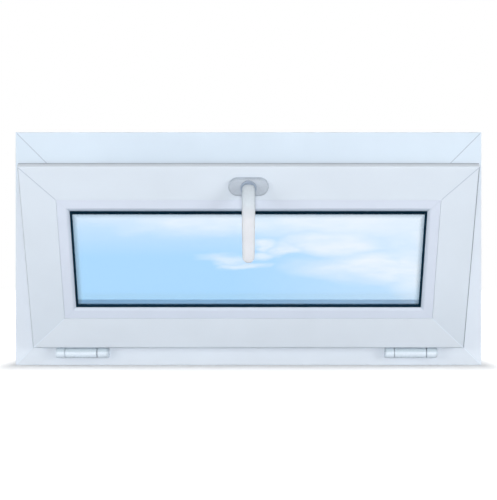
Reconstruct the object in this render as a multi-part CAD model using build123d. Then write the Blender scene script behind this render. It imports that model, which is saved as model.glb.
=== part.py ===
from build123d import *
import math
import os

# A small white plastic tilt window, 800 x 400 mm, its sash tilted open into the room.
# Millimetres. +X right and +Z up as seen from the room, +Y towards the outside.
# The origin is the centre of the frame's underside.

# Outer frame
WINDOW_WIDTH = 800.0
WINDOW_HEIGHT = 400.0
FRAME_DEPTH = 60.0
FRAME_HEIGHT = 75.0        # from the wall side to the tip of the outer leg
FRAME_FACE = 55.0          # width of the face towards the room
FRAME_LEG_DEPTH = 38.0     # depth at which the outer leg begins
WALL = 2.8                 # outer walls of the hollow profiles
WEB = 1.6                  # walls between chambers

FRAME_STEP = 5.0           # from the face's edge down to the foot of the outer leg
FRAME_SLOPE_START = 20.0   # depth at which the rebate floor begins to fall
STOP_SLOT = (7.5, 3.5)     # seal slot in the outer leg, from the leg's tip
STOP_SLOT_DEPTH = 3.5
ANCHOR_RECESS = 3.5        # channels on the wall side
FRAME_MIDDLE_WEB = 10.0    # depths of the webs between the frame's chambers
FRAME_REAR_WEB = 31.5
FRAME_OUTER_WEB = 44.5

# Sash
FRAME_IN_VIEW = 33.0       # frame left in view around the closed sash
SASH_PROUD = 16.0          # sash face in front of the frame face
SASH_BACK = 46.0           # depth of the sash's outer face
OVERLAP_REACH = 34.0       # how far the overlap leg stands over the frame side
OVERLAP_BACK = -5.0        # depth of the overlap leg's back face
SEALING_FACE = 34.5        # depth of the face that meets the frame seal
SASH_STEP = 13.0           # from the hardware face to the outer upstand
GROOVE_FLOOR = 8.5         # depth of the hardware groove behind the faceplate
BEAD_GROOVE = (-12.2, -8.5)
SASH_FACE = 58.0           # face of the sash from its edge to the glazing bead
BEAD_END = 78.3            # from the sash's edge to the bead's inner edge
BEAD_SLOPE = (5.5, 1.5)    # width and fall of the sloped edge next to the glass
BEAD_HEEL = 4.6            # depth of the bead's foot behind its glazing face
GLAZING_LEG_END = 70.0     # from the sash's edge to the tip of the leg outside the glass
SASH_LEG_DEPTH = 17.0      # depth at which the leg outside the glass begins
TILT_ANGLE = 26.3

# Glazing
PANE = 4.0
CAVITY = 16.0
GLASS_ROOM_SIDE = -10.0    # depth of the glass surface towards the room
GLASS_EDGE = 63.0          # from the sash's edge to the edge of the panes
SPACER_HEIGHT = 7.0
BEAD_RECESS = 0.4          # how far the bead lies behind the sash face
SEAL_THICKNESS = 2.6       # of the seal between bead and glass
SEAL_SLOT_DEPTH = 3.5      # of the slot that holds the overlap seal
LIP_END = 81.8             # from the sash's edge to the end of the bead seal's lip

# Hinges at the foot of the sash
HINGE_AXIS_DEPTH = -12.0
HINGE_AXIS_HEIGHT = 22.5
HINGE_OFFSET = 280.5
HINGE_SHIFT = -2.3         # both hinges sit a little to the left
HINGE_LENGTH = 90.0
HINGE_RADIUS = 9.0
HINGE_SHORT_KNUCKLE = 15.0
HINGE_CAP_KNUCKLE = 20.0
HINGE_GAP = 0.8
HINGE_PLATE = 3.0
HINGE_ARM = 2.2
HINGE_ARM_HALF = 20.0      # half width of the sash leaf's arm
HINGE_ARM_SHIFT = -2.5     # arm's middle from the hinge's middle
PIN_RADIUS = 3.5
PIN_CLEARANCE = 0.08

# Handle
HANDLE_BELOW_EDGE = 33.0   # handle axis below the sash's top edge
ROSETTE_WIDTH = 64.0
ROSETTE_HEIGHT = 30.0
ROSETTE_THICKNESS = 9.0
COLLAR_RADIUS = 13.0
COLLAR_THICKNESS = 3.0
LEVER_REACH = 44.0         # lever centreline in front of the sash face
LEVER_DROP = 115.0         # handle axis to the lever's tip
LEVER_BEND = 20.0
LEVER_WIDTH = 20.0
LEVER_THICKNESS = 13.0
LEVER_BEVEL = 3.0

# Tilt stays at the sides
STAY_LENGTH = 150.0
STAY_FRAME_HEIGHT = 150.0
STAY_DEPTH = 11.0
STAY_WIDTH = 14.0
STAY_STRIP = 2.5
STAY_FROM_WALL = 58.5      # from the wall side to the strip's outer face
STAY_PIVOT_RADIUS = 3.0
STAY_BOSS_RADIUS = 5.0
STAY_PIVOT_PROUD = 1.2     # pivot's end beyond the strip
STAY_PIVOT_CLEARANCE = 0.05
STAY_BRACKET_THICKNESS = 2.0
STAY_BRACKET_HALF = 30.0
STAY_SLIDER_HALF = 32.0
STAY_WASHER_GAP = 0.1

# Locking rail and keeps at the head
FACEPLATE_WIDTH = 16.0
FACEPLATE_THICKNESS = 2.5
FACEPLATE_LENGTH = 600.0
GROOVE_DEPTH_LINE = 10.0   # depth of the hardware groove's centre line
CAM_OFFSET = 200.0
CAM_RADIUS = 4.5
CAM_REACH = 11.0           # cam head above the drive bar
CAM_TRAVEL = 18.0
CAM_STEM = 1.2             # how much thinner the cam's stem is than its slot
CAM_HEAD = 2.5             # thickness of the cam's head
DRIVE_BAR_WIDTH = 11.0
DRIVE_BAR_THICKNESS = 3.0
DRIVE_BAR_SHORTER = 40.0   # at each end, than the faceplate
KEEP_OFFSET = 228.0
KEEP_LENGTH = 44.0
KEEP_THICKNESS = 2.5
KEEP_LIP_DROP = 8.0        # from the rebate floor to the tip of the keep's lip
KEEP_LIP_INSET = 6.0
SCREW_RADIUS = 2.0
SCREW_FROM_END = 6.0

# Drains through the foot of the frame's outer face
DRAIN_OFFSET = 250.0
DRAIN_HEIGHT = 17.0
DRAIN_SLOT_LENGTH = 26.0
DRAIN_SLOT_WIDTH = 5.0
DRAIN_CAP_REACH = 3.5
DRAIN_CAP_MARGIN = 3.0     # hood beyond the slot at each end
DRAIN_CAP_WALL = 1.2

# Weld seams at the mitred corners
SEAM_HALF_WIDTH = 1.1
SEAM_DEPTH = 0.5

SIDES = ("bottom", "right", "top", "left")
INWARD = {
    "bottom": Vector(0, 0, 1),
    "top": Vector(0, 0, -1),
    "left": Vector(1, 0, 0),
    "right": Vector(-1, 0, 0),
}
OUTWARD_DEPTH = Vector(0, 1, 0)
ROOM_FACE = -FRAME_DEPTH / 2
MITRE_REACH = 110.0
CUT_DEPTH = 200.0


class Ring:
    """A rectangle of four mitred bars, given by how far its outer edge lies inside the window's."""

    def __init__(self, inset):
        self.width = WINDOW_WIDTH - 2 * inset
        self.height = WINDOW_HEIGHT - 2 * inset
        self.low = inset

    def middle(self, side):
        """Middle of one side's outer edge, on the frame's room face."""
        across = self.width / 2
        return {
            "bottom": Vector(0, ROOM_FACE, self.low),
            "top": Vector(0, ROOM_FACE, self.low + self.height),
            "left": Vector(-across, ROOM_FACE, self.low + self.height / 2),
            "right": Vector(across, ROOM_FACE, self.low + self.height / 2),
        }[side]

    def plane(self, side):
        """Sketch plane of a bar's section: x runs inward from its outer edge, y to the outside."""
        inward = INWARD[side]
        return Plane(self.middle(side), x_dir=inward, z_dir=inward.cross(OUTWARD_DEPTH))

    def length(self, side):
        return self.width if side in ("bottom", "top") else self.height

    def mitre(self, side, shave=0.0):
        """Prism that leaves one side of the ring, cut at 45 degrees at both ends."""
        half = self.length(side) / 2 - shave
        outline = Polyline(
            (-half, 0), (half, 0), (half - MITRE_REACH, MITRE_REACH), (MITRE_REACH - half, MITRE_REACH), close=True
        )
        inward = INWARD[side]
        along = inward.cross(OUTWARD_DEPTH)
        plane = Plane(self.middle(side), x_dir=along, z_dir=along.cross(inward))
        return extrude(plane * make_face(outline), amount=CUT_DEPTH, both=True)

    def bar(self, section, side, shave=0.0):
        """One mitred bar of the ring."""
        blank = extrude(self.plane(side) * section, amount=self.length(side) / 2, both=True)
        return blank & self.mitre(side, shave)

    def loop(self, section):
        """The whole ring as one piece."""
        bars = [self.bar(section, side) for side in SIDES]
        return bars[0] + bars[1:]

    def seams(self, depth, inward):
        """V-shaped weld seams along the four mitres, in the face at this depth. inward is -1 or 1."""
        cutters = []
        for across in (-1, 1):
            for up in (0, 1):
                corner = Vector(across * self.width / 2, ROOM_FACE + depth, self.low + up * self.height)
                diagonal = Vector(-across, 0, 1 - 2 * up).normalized()
                plane = Plane(corner, x_dir=OUTWARD_DEPTH.cross(diagonal), z_dir=diagonal)
                wedge = Polyline((-SEAM_HALF_WIDTH, 0), (SEAM_HALF_WIDTH, 0), (0, inward * SEAM_DEPTH), close=True)
                cutters.append(extrude(plane * make_face(wedge), amount=MITRE_REACH))
        return cutters


FRAME_RING = Ring(0)
SASH_RING = Ring(FRAME_IN_VIEW)


def section(points, radii):
    """A closed outline of (distance inward, depth) points, with the corners that radii names rounded."""
    rounding = [radii.get(number, 0) for number in range(len(points))]
    return make_face(FilletPolyline(*points, radius=rounding, close=True))


def chamber(inner, outer, near, far):
    """A hollow of the profile, from inner to outer across it and from near to far in depth."""
    return Pos((inner + outer) / 2, (near + far) / 2) * Rectangle(outer - inner, far - near)


def frame_section():
    """Five-chamber frame profile with its rebate, outer leg, seal slot and accessory channels."""
    leg = FRAME_LEG_DEPTH
    foot = FRAME_FACE - FRAME_STEP
    slot_low, slot_high = [FRAME_HEIGHT - back for back in STOP_SLOT]
    slot_end = leg + STOP_SLOT_DEPTH
    points = [
        (0, 0), (FRAME_FACE, 0), (FRAME_FACE, FRAME_SLOPE_START), (foot + 1, leg - 4), (foot, leg - 3.5),
        (foot, leg), (slot_low, leg), (slot_low, slot_end), (slot_high, slot_end), (slot_high, leg),
        (FRAME_HEIGHT, leg), (FRAME_HEIGHT, leg + 8), (FRAME_HEIGHT - 7, FRAME_DEPTH), (0, FRAME_DEPTH),
        (0, 50), (ANCHOR_RECESS, 50), (ANCHOR_RECESS, 44), (0, 44), (0, 16), (ANCHOR_RECESS, 16),
        (ANCHOR_RECESS, 10), (0, 10),
    ]
    outline = section(points, {0: 1.0, 1: 1.5, 2: 2.0, 10: 1.0, 11: 2.0, 12: 2.0, 13: 1.0})
    wall_side = ANCHOR_RECESS + WALL
    floor = FRAME_FACE - WALL
    behind_floor = foot - WALL
    return outline - [
        chamber(wall_side, floor, WALL, FRAME_MIDDLE_WEB),
        chamber(wall_side, floor - 3.5, FRAME_MIDDLE_WEB + WEB, FRAME_REAR_WEB),
        chamber(wall_side, behind_floor, FRAME_REAR_WEB + WEB, FRAME_OUTER_WEB),
        chamber(wall_side, behind_floor, FRAME_OUTER_WEB + WEB, FRAME_DEPTH - WALL),
        chamber(behind_floor + WEB, slot_low - WALL, slot_end + 2.5, FRAME_DEPTH - WALL),
    ]


def sash_section():
    """Five-chamber sash profile with its overlap leg, hardware groove, bead groove and glazing leg."""
    face = -SASH_PROUD
    groove_near = GROOVE_DEPTH_LINE - FACEPLATE_WIDTH / 2
    groove_far = GROOVE_DEPTH_LINE + FACEPLATE_WIDTH / 2
    recess = OVERLAP_REACH + FACEPLATE_THICKNESS
    groove_floor = recess + GROOVE_FLOOR
    upstand = OVERLAP_REACH + SASH_STEP
    overlap_slot = OVERLAP_BACK - SEAL_SLOT_DEPTH
    bead_near, bead_far = BEAD_GROOVE
    tip = GLAZING_LEG_END
    leg = SASH_LEG_DEPTH
    leg_slot = leg + SEAL_SLOT_DEPTH
    points = [
        (0, face), (SASH_FACE, face), (SASH_FACE, bead_near), (SASH_FACE - 3.5, bead_near),
        (SASH_FACE - 3.5, bead_far), (SASH_FACE, bead_far), (SASH_FACE, leg), (tip - 5, leg),
        (tip - 5, leg_slot), (tip - 2, leg_slot), (tip - 2, leg), (tip, leg), (tip, leg_slot),
        (tip - 7, SASH_BACK), (upstand, SASH_BACK), (upstand, SEALING_FACE), (OVERLAP_REACH + 2, SEALING_FACE),
        (OVERLAP_REACH, SEALING_FACE - 2.5), (OVERLAP_REACH, groove_far), (recess, groove_far),
        (recess, groove_far - 2), (groove_floor, groove_far - 2), (groove_floor, groove_near + 2),
        (recess, groove_near + 2), (recess, groove_near), (OVERLAP_REACH, groove_near),
        (OVERLAP_REACH, OVERLAP_BACK), (6, OVERLAP_BACK), (6, overlap_slot), (2.5, overlap_slot),
        (2.5, OVERLAP_BACK), (0, OVERLAP_BACK),
    ]
    outline = section(points, {0: 3.5, 1: 0.5, 11: 0.5, 12: 1.5, 13: 2.5, 14: 2.0, 31: 1.0})
    rebate_wall = SASH_FACE - WALL
    front_web = OVERLAP_BACK - WALL
    middle_web = groove_far
    rear_web = SEALING_FACE - WALL
    return outline - [
        chamber(8.5, SASH_FACE - 6.5, face + WALL, front_web),
        chamber(groove_floor + WALL, rebate_wall, front_web + WEB, middle_web),
        chamber(recess + 0.5, rebate_wall, middle_web + WEB, rear_web),
        chamber(upstand + WALL, tip - 9.5, rear_web + WEB, SASH_BACK - WALL),
        chamber(SASH_FACE + WALL, tip - 5.5, leg_slot + WALL, rear_web),
    ]


def bead_section():
    """Glazing bead with a flat face, a rounded edge at the glass and the foot that clips into the sash."""
    face = -SASH_PROUD + BEAD_RECESS
    edge = SASH_FACE + 0.15
    back = GLASS_ROOM_SIDE - SEAL_THICKNESS
    clip_near, clip_far = BEAD_GROOVE
    clip = SASH_FACE - 3.3
    heel = back + BEAD_HEEL
    slope_width, slope_fall = BEAD_SLOPE
    points = [
        (edge, face), (BEAD_END - slope_width, face), (BEAD_END, face + slope_fall), (BEAD_END, back),
        (SASH_FACE + 3.5, back),
        (SASH_FACE + 3.5, heel), (edge, heel), (edge, clip_far - 0.2), (clip, clip_far - 0.2),
        (clip, clip_near + 0.2), (edge, clip_near + 0.2),
    ]
    return section(points, {0: 0.5, 1: 6.0, 2: 0.8})


def bead_seal_section():
    """Dark seal between the bead and the inner pane, with its lip on the glass."""
    back = GLASS_ROOM_SIDE - SEAL_THICKNESS
    points = [
        (BEAD_END - 7.5, back), (BEAD_END, back), (LIP_END - 1.2, back + 0.5), (LIP_END, GLASS_ROOM_SIDE - 0.7),
        (LIP_END, GLASS_ROOM_SIDE), (BEAD_END - 7.5, GLASS_ROOM_SIDE),
    ]
    return section(points, {2: 0.8})


def outer_glazing_seal_section():
    """Dark seal between the outer pane and the sash's glazing leg."""
    glass_back = GLASS_ROOM_SIDE + 2 * PANE + CAVITY
    tip = GLAZING_LEG_END
    leg = SASH_LEG_DEPTH
    leg_slot = leg + SEAL_SLOT_DEPTH
    points = [
        (tip - 6.5, glass_back), (tip + 1.5, glass_back), (tip + 1.5, glass_back + 0.8), (tip, leg),
        (tip - 2, leg), (tip - 2, leg_slot), (tip - 5, leg_slot), (tip - 5, leg), (tip - 6.5, leg),
    ]
    return section(points, {})


def sash_seal_section():
    """Grey seal at the tip of the overlap leg, whose lip just shows around the sash."""
    back = OVERLAP_BACK
    slot_back = back - SEAL_SLOT_DEPTH
    points = [
        (2.5, slot_back), (6, slot_back), (6, back), (7.5, back), (7.0, back + 2), (4.5, -0.4), (0.4, -0.4),
        (-0.8, -1.8), (-0.8, back + 1.4), (0.4, back), (2.5, back),
    ]
    return section(points, {5: 1.0, 6: 1.0})


def frame_seal_section():
    """Grey stop seal on the frame's outer leg."""
    leg = FRAME_LEG_DEPTH
    low, high = [FRAME_HEIGHT - back for back in STOP_SLOT]
    slot_end = leg + STOP_SLOT_DEPTH
    nose = SEALING_FACE + 0.3
    points = [
        (low, leg), (low, slot_end), (high, slot_end), (high, leg), (high + 2, leg), (high + 2, leg - 1.2),
        (high, nose), (low + 1, nose), (low - 1, leg - 1.2), (low - 1, leg),
    ]
    return section(points, {6: 1.0, 7: 1.0})


def at_depth(x, depth, z):
    """A point given by its depth behind the frame's room face."""
    return Vector(x, ROOM_FACE + depth, z)


def block(x, depth, z):
    """A box given by its (low, high) ranges in x, in depth and in z."""
    size = [high - low for low, high in (x, depth, z)]
    centre = [(low + high) / 2 for low, high in (x, depth, z)]
    return Pos(at_depth(*centre)) * Box(*size)


def rod(x, depth, z, radius, length, direction):
    """A round bar that starts at a point and runs along a direction."""
    start = Plane(at_depth(x, depth, z), z_dir=direction)
    return extrude(start * Circle(radius), amount=length)


def tilted(shape):
    """A piece of the closed sash, turned with it about the hinge pins."""
    pivot = at_depth(0, HINGE_AXIS_DEPTH, HINGE_AXIS_HEIGHT)
    return Pos(pivot) * Rot(TILT_ANGLE, 0, 0) * Pos(-pivot) * shape


def tilted_point(point):
    """Where a point of the closed sash lies once it is tilted."""
    pivot = at_depth(0, HINGE_AXIS_DEPTH, HINGE_AXIS_HEIGHT)
    return pivot + (point - pivot).rotate(Axis.X, TILT_ANGLE)


def frame_bars():
    """The four frame bars, with weld seams at both faces and drain slots in the bottom one."""
    profile = frame_section()
    seams = FRAME_RING.seams(0, 1) + FRAME_RING.seams(FRAME_DEPTH, -1)
    bars = {}
    for side in SIDES:
        bars[side] = FRAME_RING.bar(profile, side)
        for seam in seams:
            bars[side] = bars[side] - seam
    for x in (-DRAIN_OFFSET, DRAIN_OFFSET):
        bars["bottom"] = bars["bottom"] - drain_slot(x)
    return bars


def drain_slot(x):
    """Slot through the frame's outer wall that lets rain water out."""
    plane = Plane(at_depth(x, FRAME_DEPTH + 1, DRAIN_HEIGHT), x_dir=(1, 0, 0), z_dir=(0, -1, 0))
    return extrude(plane * SlotOverall(DRAIN_SLOT_LENGTH, DRAIN_SLOT_WIDTH), amount=WALL + 2)


def drain_cap(x):
    """Hood over a drain slot, open at its foot."""
    half = DRAIN_SLOT_LENGTH / 2 + DRAIN_CAP_MARGIN
    low = DRAIN_HEIGHT - DRAIN_SLOT_WIDTH
    high = DRAIN_HEIGHT + DRAIN_SLOT_WIDTH
    hood = block((x - half, x + half), (FRAME_DEPTH, FRAME_DEPTH + DRAIN_CAP_REACH), (low, high))
    hood = fillet(hood.edges().filter_by(Axis.Y).group_by(Axis.Z)[-1], 3.0)
    hood = chamfer(hood.faces().sort_by(Axis.Y)[-1].edges(), 1.0)
    hollow_x = (x - half + DRAIN_CAP_WALL, x + half - DRAIN_CAP_WALL)
    hollow_depth = (FRAME_DEPTH - 1, FRAME_DEPTH + DRAIN_CAP_REACH - DRAIN_CAP_WALL)
    hollow = block(hollow_x, hollow_depth, (low - 1, high - DRAIN_CAP_WALL))
    return hood - hollow


def sash_bars():
    """The four sash bars, with weld seams at both faces."""
    profile = sash_section()
    seams = SASH_RING.seams(-SASH_PROUD, 1) + SASH_RING.seams(SASH_BACK, -1)
    bars = {}
    for side in SIDES:
        bars[side] = SASH_RING.bar(profile, side)
        for seam in seams:
            bars[side] = bars[side] - seam
    return bars


def glass_pane(near):
    """One pane of the sealed unit, whose room side lies at this depth."""
    half_width = SASH_RING.width / 2 - GLASS_EDGE
    low = SASH_RING.low + GLASS_EDGE
    pane = block((-half_width, half_width), (near, near + PANE), (low, WINDOW_HEIGHT - low))
    return chamfer(pane.edges(), 0.4)


def spacer_bar():
    """Spacer that holds the panes apart."""
    near = GLASS_ROOM_SIDE + PANE
    inner = GLASS_EDGE + SPACER_HEIGHT
    points = [
        (GLASS_EDGE + 1, near), (inner - 1, near), (inner, near + 1.5), (inner, near + CAVITY - 1.5),
        (inner - 1, near + CAVITY), (GLASS_EDGE + 1, near + CAVITY),
    ]
    return SASH_RING.loop(section(points, {}))


def hinge_knuckle(low, high, radius, back):
    """A knuckle round the hinge pin whose back is carried to a flat at a given depth."""
    plane = Plane(at_depth(low, HINGE_AXIS_DEPTH, HINGE_AXIS_HEIGHT), x_dir=(0, 1, 0), z_dir=(1, 0, 0))
    to_back = back - HINGE_AXIS_DEPTH
    outline = Circle(radius) + Pos(to_back / 2, 0) * Rectangle(to_back, 2 * radius)
    return extrude(plane * outline, amount=high - low)


def hinge_parts(centre):
    """Frame leaf, sash leaf and pin of one hinge."""
    left = centre - HINGE_LENGTH / 2
    right = centre + HINGE_LENGTH / 2
    middle_low = left + HINGE_SHORT_KNUCKLE + HINGE_GAP
    middle_high = right - HINGE_CAP_KNUCKLE - HINGE_GAP
    low = HINGE_AXIS_HEIGHT - HINGE_RADIUS
    bore = rod(
        left + 4, HINGE_AXIS_DEPTH, HINGE_AXIS_HEIGHT, PIN_RADIUS + PIN_CLEARANCE, HINGE_LENGTH - 8, (1, 0, 0)
    )

    short_end = hinge_knuckle(left, left + HINGE_SHORT_KNUCKLE, HINGE_RADIUS, 0)
    cap_end = hinge_knuckle(right - HINGE_CAP_KNUCKLE, right, HINGE_RADIUS, 0)
    cap_end = chamfer(cap_end.faces().sort_by(Axis.X)[-1].edges().filter_by(GeomType.CIRCLE), 5.0, 3.0)
    plate = block((left + 2, right - 2), (-HINGE_PLATE, 0), (low, HINGE_AXIS_HEIGHT - 2))
    frame_leaf = short_end + cap_end + plate - bore

    barrel = rod(
        middle_low, HINGE_AXIS_DEPTH, HINGE_AXIS_HEIGHT, HINGE_RADIUS - 0.4, middle_high - middle_low, (1, 0, 0)
    )
    arm_middle = centre + HINGE_ARM_SHIFT
    arm_x = (arm_middle - HINGE_ARM_HALF, arm_middle + HINGE_ARM_HALF)
    arm_back = OVERLAP_BACK + 0.4 + HINGE_ARM
    under_sash = FRAME_IN_VIEW + OVERLAP_REACH
    web = block(arm_x, (HINGE_AXIS_DEPTH, arm_back), (HINGE_AXIS_HEIGHT + 2, HINGE_AXIS_HEIGHT + 8))
    upright = block(arm_x, (arm_back - HINGE_ARM, arm_back), (HINGE_AXIS_HEIGHT + 2, under_sash))
    foot = block(arm_x, (arm_back - HINGE_ARM, 30), (under_sash - HINGE_ARM, under_sash))
    sash_leaf = barrel + web + upright + foot - bore

    pin = rod(left + 4.5, HINGE_AXIS_DEPTH, HINGE_AXIS_HEIGHT, PIN_RADIUS, HINGE_LENGTH - 9, (1, 0, 0))
    return frame_leaf, sash_leaf, pin, upright


def handle_base():
    """Rosette with its raised collar, screwed across the sash's top bar."""
    height = WINDOW_HEIGHT - FRAME_IN_VIEW - HANDLE_BELOW_EDGE
    face = Plane(at_depth(0, -SASH_PROUD, height), x_dir=(1, 0, 0), z_dir=(0, -1, 0))
    base = extrude(face * RectangleRounded(ROSETTE_WIDTH, ROSETTE_HEIGHT, 12.0), amount=ROSETTE_THICKNESS)
    base = chamfer(base.faces().sort_by(Axis.Y)[0].edges(), 2.0)
    collar = extrude(face.offset(ROSETTE_THICKNESS) * Circle(COLLAR_RADIUS), amount=COLLAR_THICKNESS)
    return base + collar


def handle_lever():
    """Lever: a neck that bends down into a tapered grip with a rounded tip, its long edges bevelled."""
    axis_height = WINDOW_HEIGHT - FRAME_IN_VIEW - HANDLE_BELOW_EDGE
    foot = ROSETTE_THICKNESS + COLLAR_THICKNESS
    half_thick = LEVER_THICKNESS / 2
    side = Plane(at_depth(0, -SASH_PROUD, axis_height), x_dir=(0, -1, 0), z_dir=(-1, 0, 0))
    bend_start = (LEVER_REACH - LEVER_BEND, 0)
    bend_end = (LEVER_REACH, -LEVER_BEND)
    neck_line = Line((foot, 0), bend_start)
    bend_line = TangentArc(bend_start, bend_end, tangent=(1, 0))
    grip_line = Line(bend_end, (LEVER_REACH, -LEVER_DROP))
    middle = Curve() + [neck_line, bend_line, grip_line]
    from_side = extrude(side * trace(middle, line_width=2 * half_thick), amount=LEVER_WIDTH, both=True)

    front = Plane(at_depth(0, -SASH_PROUD, axis_height), x_dir=(1, 0, 0), z_dir=(0, -1, 0))
    round_tip = LEVER_WIDTH / 2
    outline = RectangleRounded(LEVER_WIDTH, LEVER_DROP + LEVER_WIDTH, round_tip - 0.001)
    from_front = Pos(0, round_tip - (LEVER_DROP + LEVER_WIDTH) / 2 + round_tip) * outline
    lever = from_side & extrude(front * from_front, amount=LEVER_REACH + LEVER_THICKNESS)
    across = lever.edges().filter_by(Axis.X)
    through = lever.edges().filter_by(lambda edge: abs(edge.length - LEVER_THICKNESS) < 0.1)
    long_edges = [edge for edge in lever.edges() if edge not in across + through]
    return chamfer(long_edges, LEVER_BEVEL)


def stay_slider_height():
    """Height on the closed sash of the stay's slider once the sash is tilted."""
    groove_foot = tilted_point(at_depth(0, GROOVE_DEPTH_LINE, 0))
    upward = Vector(0, 0, 1).rotate(Axis.X, TILT_ANGLE)
    from_pivot = groove_foot - at_depth(0, STAY_DEPTH, STAY_FRAME_HEIGHT)
    half_b = from_pivot.dot(upward)
    rest = from_pivot.dot(from_pivot) - STAY_LENGTH**2
    return -half_b + math.sqrt(half_b**2 - rest)


def stay_parts(side):
    """Frame bracket, arm and sash slider of one tilt stay. side is -1 at the left and 1 at the right."""
    inward = Vector(-side, 0, 0)
    wall = side * WINDOW_WIDTH / 2

    def across(near, far):
        """Range of x between two distances from the wall side."""
        return tuple(sorted((wall - side * near, wall - side * far)))

    pivot_z = STAY_FRAME_HEIGHT
    groove = (STAY_DEPTH - FACEPLATE_WIDTH / 2, STAY_DEPTH + FACEPLATE_WIDTH / 2)
    plate_face = FRAME_FACE + STAY_BRACKET_THICKNESS
    boss = STAY_FROM_WALL - plate_face - STAY_WASHER_GAP
    pivot = STAY_FROM_WALL + STAY_STRIP + STAY_PIVOT_PROUD - plate_face
    start = wall - side * plate_face
    bracket = block(
        across(FRAME_FACE, plate_face), groove, (pivot_z - STAY_BRACKET_HALF, pivot_z + STAY_BRACKET_HALF)
    )
    bracket += rod(start, STAY_DEPTH, pivot_z, STAY_PIVOT_RADIUS, pivot, inward)
    bracket += rod(start, STAY_DEPTH, pivot_z, STAY_BOSS_RADIUS, boss, inward)

    height = stay_slider_height()
    edge = OVERLAP_REACH + FRAME_IN_VIEW
    sash_groove = (GROOVE_DEPTH_LINE - FACEPLATE_WIDTH / 2, GROOVE_DEPTH_LINE + FACEPLATE_WIDTH / 2)
    slider = block(
        across(edge, edge + FACEPLATE_THICKNESS), sash_groove, (height - STAY_SLIDER_HALF, height + STAY_SLIDER_HALF)
    )
    start = wall - side * edge
    boss = edge - STAY_FROM_WALL - STAY_STRIP - STAY_WASHER_GAP
    pivot = edge - STAY_FROM_WALL + STAY_PIVOT_PROUD
    slider += rod(start, GROOVE_DEPTH_LINE, height, STAY_BOSS_RADIUS, boss, -inward)
    slider += rod(start, GROOVE_DEPTH_LINE, height, STAY_PIVOT_RADIUS, pivot, -inward)

    low = at_depth(wall - side * STAY_FROM_WALL, STAY_DEPTH, pivot_z)
    high = tilted_point(at_depth(wall - side * STAY_FROM_WALL, GROOVE_DEPTH_LINE, height))
    along = (high - low).normalized()
    plane = Plane((low + high) / 2, x_dir=along, z_dir=inward)
    strip = SlotCenterToCenter(STAY_LENGTH, STAY_WIDTH)
    eye = Circle(STAY_PIVOT_RADIUS + STAY_PIVOT_CLEARANCE)
    strip -= [Pos(end * STAY_LENGTH / 2, 0) * eye for end in (-1, 1)]
    arm = extrude(plane * strip, amount=STAY_STRIP)
    return bracket, arm, tilted(slider)


def locking_parts():
    """Faceplate in the sash's top groove, and the drive bar under it with its two mushroom cams."""
    edge = WINDOW_HEIGHT - FRAME_IN_VIEW - OVERLAP_REACH
    under = edge - FACEPLATE_THICKNESS
    half = FACEPLATE_LENGTH / 2
    groove = (GROOVE_DEPTH_LINE - FACEPLATE_WIDTH / 2, GROOVE_DEPTH_LINE + FACEPLATE_WIDTH / 2)
    channel = (GROOVE_DEPTH_LINE - DRIVE_BAR_WIDTH / 2, GROOVE_DEPTH_LINE + DRIVE_BAR_WIDTH / 2)
    faceplate = block((-half, half), groove, (under, edge))
    drive_bar = block((DRIVE_BAR_SHORTER - half, half - DRIVE_BAR_SHORTER), channel, (under - DRIVE_BAR_THICKNESS, under))
    for x in (-CAM_OFFSET, CAM_OFFSET):
        slot = Plane(at_depth(x, GROOVE_DEPTH_LINE, edge), x_dir=(1, 0, 0), z_dir=(0, 0, -1))
        faceplate -= extrude(slot * SlotOverall(CAM_TRAVEL + 2 * CAM_RADIUS, 2 * CAM_RADIUS), amount=5)
        drive_bar += rod(x, GROOVE_DEPTH_LINE, under, CAM_RADIUS - CAM_STEM, CAM_REACH, (0, 0, 1))
        head = under + CAM_REACH - CAM_HEAD
        drive_bar += rod(x, GROOVE_DEPTH_LINE, head, CAM_RADIUS - 0.2, CAM_HEAD, (0, 0, 1))
    return faceplate, drive_bar


def keep(x):
    """Keep on the frame's head that a cam slides behind."""
    floor = WINDOW_HEIGHT - FRAME_FACE
    half = KEEP_LENGTH / 2
    depth = (STAY_DEPTH - FACEPLATE_WIDTH / 2, STAY_DEPTH + FACEPLATE_WIDTH / 2)
    plate = block((x - half, x + half), depth, (floor - KEEP_THICKNESS, floor))
    lip_x = (x - half + KEEP_LIP_INSET, x + half - KEEP_LIP_INSET)
    lip = block(lip_x, (depth[0], depth[0] + KEEP_THICKNESS), (floor - KEEP_LIP_DROP, floor))
    lip = chamfer(lip.edges().filter_by(Axis.Y).group_by(Axis.Z)[0], 2.0)
    for end in (-1, 1):
        hole_x = x + end * (half - SCREW_FROM_END)
        plate -= rod(hole_x, STAY_DEPTH + 2, floor - 3, SCREW_RADIUS, 4, (0, 0, 1))
    return plate + lip


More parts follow.
